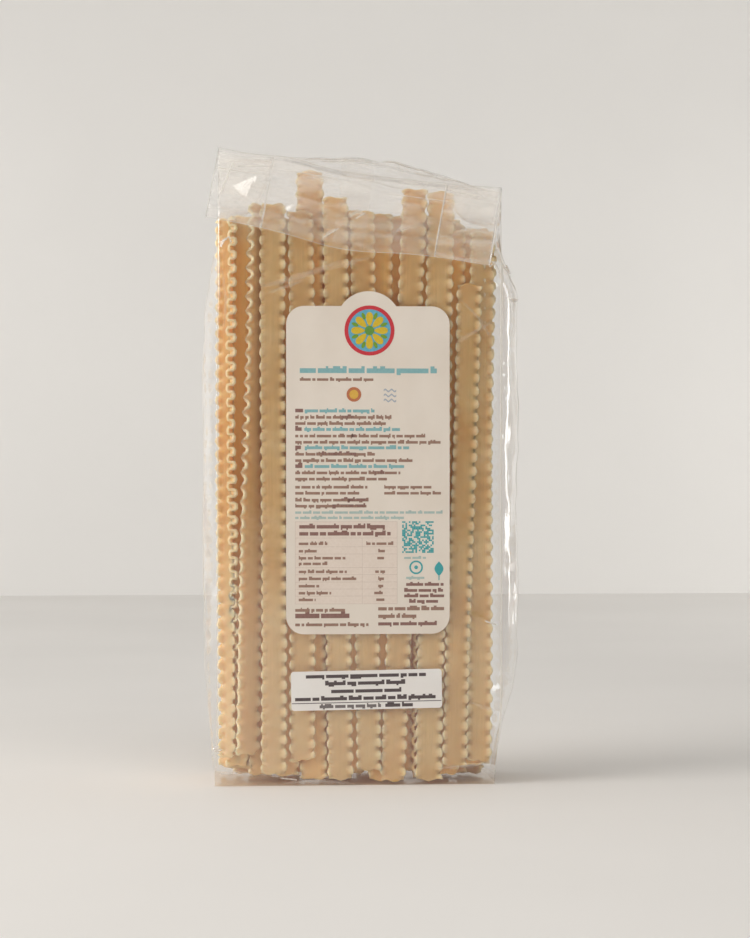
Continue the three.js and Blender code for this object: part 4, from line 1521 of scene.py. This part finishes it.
# %% [markdown]
# Under the lines stand a table of values, a square of small cells and two plain signs. The
# table is a faintly pink field with thin rules, the square's cells are filled at random, and
# the signs are a ring with a dot and a leaf.

# %% Table, square and signs
TABLE_LEFT, TABLE_RIGHT = column_x(295), column_x(397)
TABLE_LOW, TABLE_HIGH = row_height(604), row_height(521.5)
HEADING_END = 538  # row under the table's heading, where the middle rule starts
RULE_HALF = 0.06
rules = []
for row in (521.7, HEADING_END, 546.8, 554, 567.5, 574.6, 582, 589, 596, 603.8):
    rules += rule(TABLE_LEFT, TABLE_RIGHT, row_height(row), 2 * RULE_HALF)
for column in (295, 362, 397):
    top = TABLE_HIGH if column != 362 else row_height(HEADING_END)
    rules.append(box_shape(column_x(column) - RULE_HALF, column_x(column) + RULE_HALF, TABLE_LOW, top))

MOSAIC_SIDE = 13.4
MOSAIC_CELLS = 19
MOSAIC_AT = (column_x(402), row_height(553))
cell = MOSAIC_SIDE / MOSAIC_CELLS
mosaic = []
for row in range(MOSAIC_CELLS):
    for column in range(MOSAIC_CELLS):
        if random.random() < 0.5:
            left = MOSAIC_AT[0] + column * cell
            low = MOSAIC_AT[1] + row * cell
            mosaic.append(box_shape(left, left + 0.94 * cell, low, low + 0.94 * cell))

RING_AT = (column_x(416), row_height(567.5))
LEAF_X, LEAF_Z = column_x(439), row_height(569)
leaf_angles = np.linspace(-1, 1, 13)
leaf = [(LEAF_X + 1.9 * math.cos(math.pi / 2 * t), LEAF_Z + 3.1 * t) for t in leaf_angles]
leaf += [(LEAF_X - 1.9 * math.cos(math.pi / 2 * t), LEAF_Z + 3.1 * t) for t in leaf_angles[-2:0:-1]]
signs = ring_shapes(*RING_AT, 2.2, 2.9, 28) + [circle(*RING_AT, 0.8, 16)]
signs += [leaf, box_shape(LEAF_X - 0.2, LEAF_X + 0.2, row_height(580.5), row_height(576))]

# %% Inks of the big label
table_rows = [(blend(TABLE_LOW, TABLE_HIGH, i / 2), TABLE_LEFT, TABLE_RIGHT) for i in range(3)]
field("print_table_field", table_rows, ink("pale_pink_ink", "#e5d6c9", "#e9dbcf"), rise=0.012)
printed("print_table_rules", rules, ink("grey_rule_ink", "#c9b8ab", "#cfbfb2"), rise=0.02)
printed("print_small_lines", lines["brown"], ink("brown_ink", "#97776a", "#a0816f"))
printed("print_bold_lines", lines["bold"], ink("dark_brown_ink", "#8a665e", "#917068"))
printed("print_teal_lines", lines["teal"], ink("teal_ink", "#83b2b6", "#8cb8ba"))
printed("print_pale_lines", lines["pale"], ink("pale_teal_ink", "#a9bdb8", "#b3c4be"))
printed("print_mosaic", mosaic + signs, ink("bright_teal_ink", "#3fa2a8", "#4aa9ad"))

# %% [markdown]
# ### Pictures
#
# A flower of eight petals in a red ring fills the round bump. Under the heading stand two small
# signs, a sun of two discs and three wavy lines.

# %% Badge
FLOWER = (3.9, 192.4)
RING_RADIUS = 10.6


def petal_shapes(points, reach, long, wide, offset=0.0, swell=0.0):
    """Eight petals round the flower's middle.

    reach is how far out their middles are, long and wide are half of their size, and swell
    makes their outer ends fuller.
    """
    shapes = []
    for i in range(8):
        turn = 2 * math.pi * (i + offset) / 8
        outline = []
        for a in np.linspace(0, 2 * math.pi, points, endpoint=False):
            out = reach + long * math.cos(a)
            aside = wide * math.sin(a) * (1 + swell * math.cos(a))
            outline.append((FLOWER[0] + out * math.cos(turn) - aside * math.sin(turn),
                            FLOWER[1] + out * math.sin(turn) + aside * math.cos(turn)))
        shapes.append(outline)
    return shapes


def disc_rows(x, z, radius, steps=20):
    """Rows of a disc, for a field."""
    angles = np.linspace(-math.pi / 2, math.pi / 2, steps + 1)[1:-1]
    return [(z + radius * math.sin(a), x - radius * math.cos(a), x + radius * math.cos(a))
            for a in angles]


petals = petal_shapes(18, 4.9, 2.9, 1.45, swell=0.3)
leaves = petal_shapes(14, 6.6, 1.5, 0.75, offset=0.5)
field("badge_field", disc_rows(*FLOWER, 9.3), ink("sky_blue_ink", "#5fa9c6", "#6cb1cb"), rise=0.02)
printed("badge_ring", ring_shapes(*FLOWER, 9.0, RING_RADIUS), ink("red_ink", "#c8343f", "#cf3d47"))
printed("badge_leaves", leaves, ink("leaf_green_ink", "#6f9a2c", "#7aa236"), rise=0.07)
printed("badge_petals", petals, ink("yellow_ink", "#d6b42c", "#dcbd38"), rise=0.09)
printed("badge_heart", [circle(*FLOWER, 2.0, 24)], ink("moss_green_ink", "#5f9440", "#689c48"),
        rise=0.11)

# %% Small pictures
sun = (column_x(353.6), row_height(394.5))
field("picture_sun", disc_rows(*sun, 3.1), ink("terracotta_ink", "#b96f4c", "#c27a56"))
printed("picture_sun_heart", [circle(*sun, 1.9, 24)],
        ink("wheat_yellow_ink", "#dcae4a", "#e0b554"), rise=0.09)

WAVES_FROM, WAVES_TO, WAVE_STEP = 383.5, 396, 1.25  # columns
WAVE_ROWS = (400.5, 395.5, 390.5)
WAVE_HALF = 0.35
wave_shapes = []
for row in WAVE_ROWS:
    for column in np.arange(WAVES_FROM, WAVES_TO, WAVE_STEP):
        (left, low), (right, high) = [
            (column_x(edge), row_height(row) + 0.5 * math.sin(edge - WAVES_FROM))
            for edge in (column, column + WAVE_STEP)]
        wave_shapes.append([(left, low - WAVE_HALF), (right, high - WAVE_HALF),
                            (right, high + WAVE_HALF), (left, low + WAVE_HALF)])
printed("picture_waves", wave_shapes, ink("grey_blue_ink", "#a9b0ba", "#b1b7c0"))

# %% [markdown]
# The small label has four bold lines, and one of light and bold words under a rule. They are
# placed from the label's middle and turned with it.

# %% Small label print
small_bold = []
for z, half_length in [(5.3, 25.6), (2.2, 17.5), (-1.1, 15.0), (-4.2, 30.3)]:
    small_bold += word_bars(-half_length, half_length, z, 1.35, 1.15, 0.3)
small_light = word_bars(-20.0, 6.5, -7.4, 1.25, 0.8, 0.3)
small_bold += word_bars(7.8, 20.0, -7.4, 1.35, 1.15, 0.3)
small_rule = rule(-31.6, 31.6, -5.2, 0.3)
printed("small_print_bold", small_bold + small_rule, ink("black_ink", "#564c4d", "#5e5455"),
        place=tilted)
printed("small_print_light", small_light, ink("grey_ink", "#77706f", "#807978"),
        place=tilted)
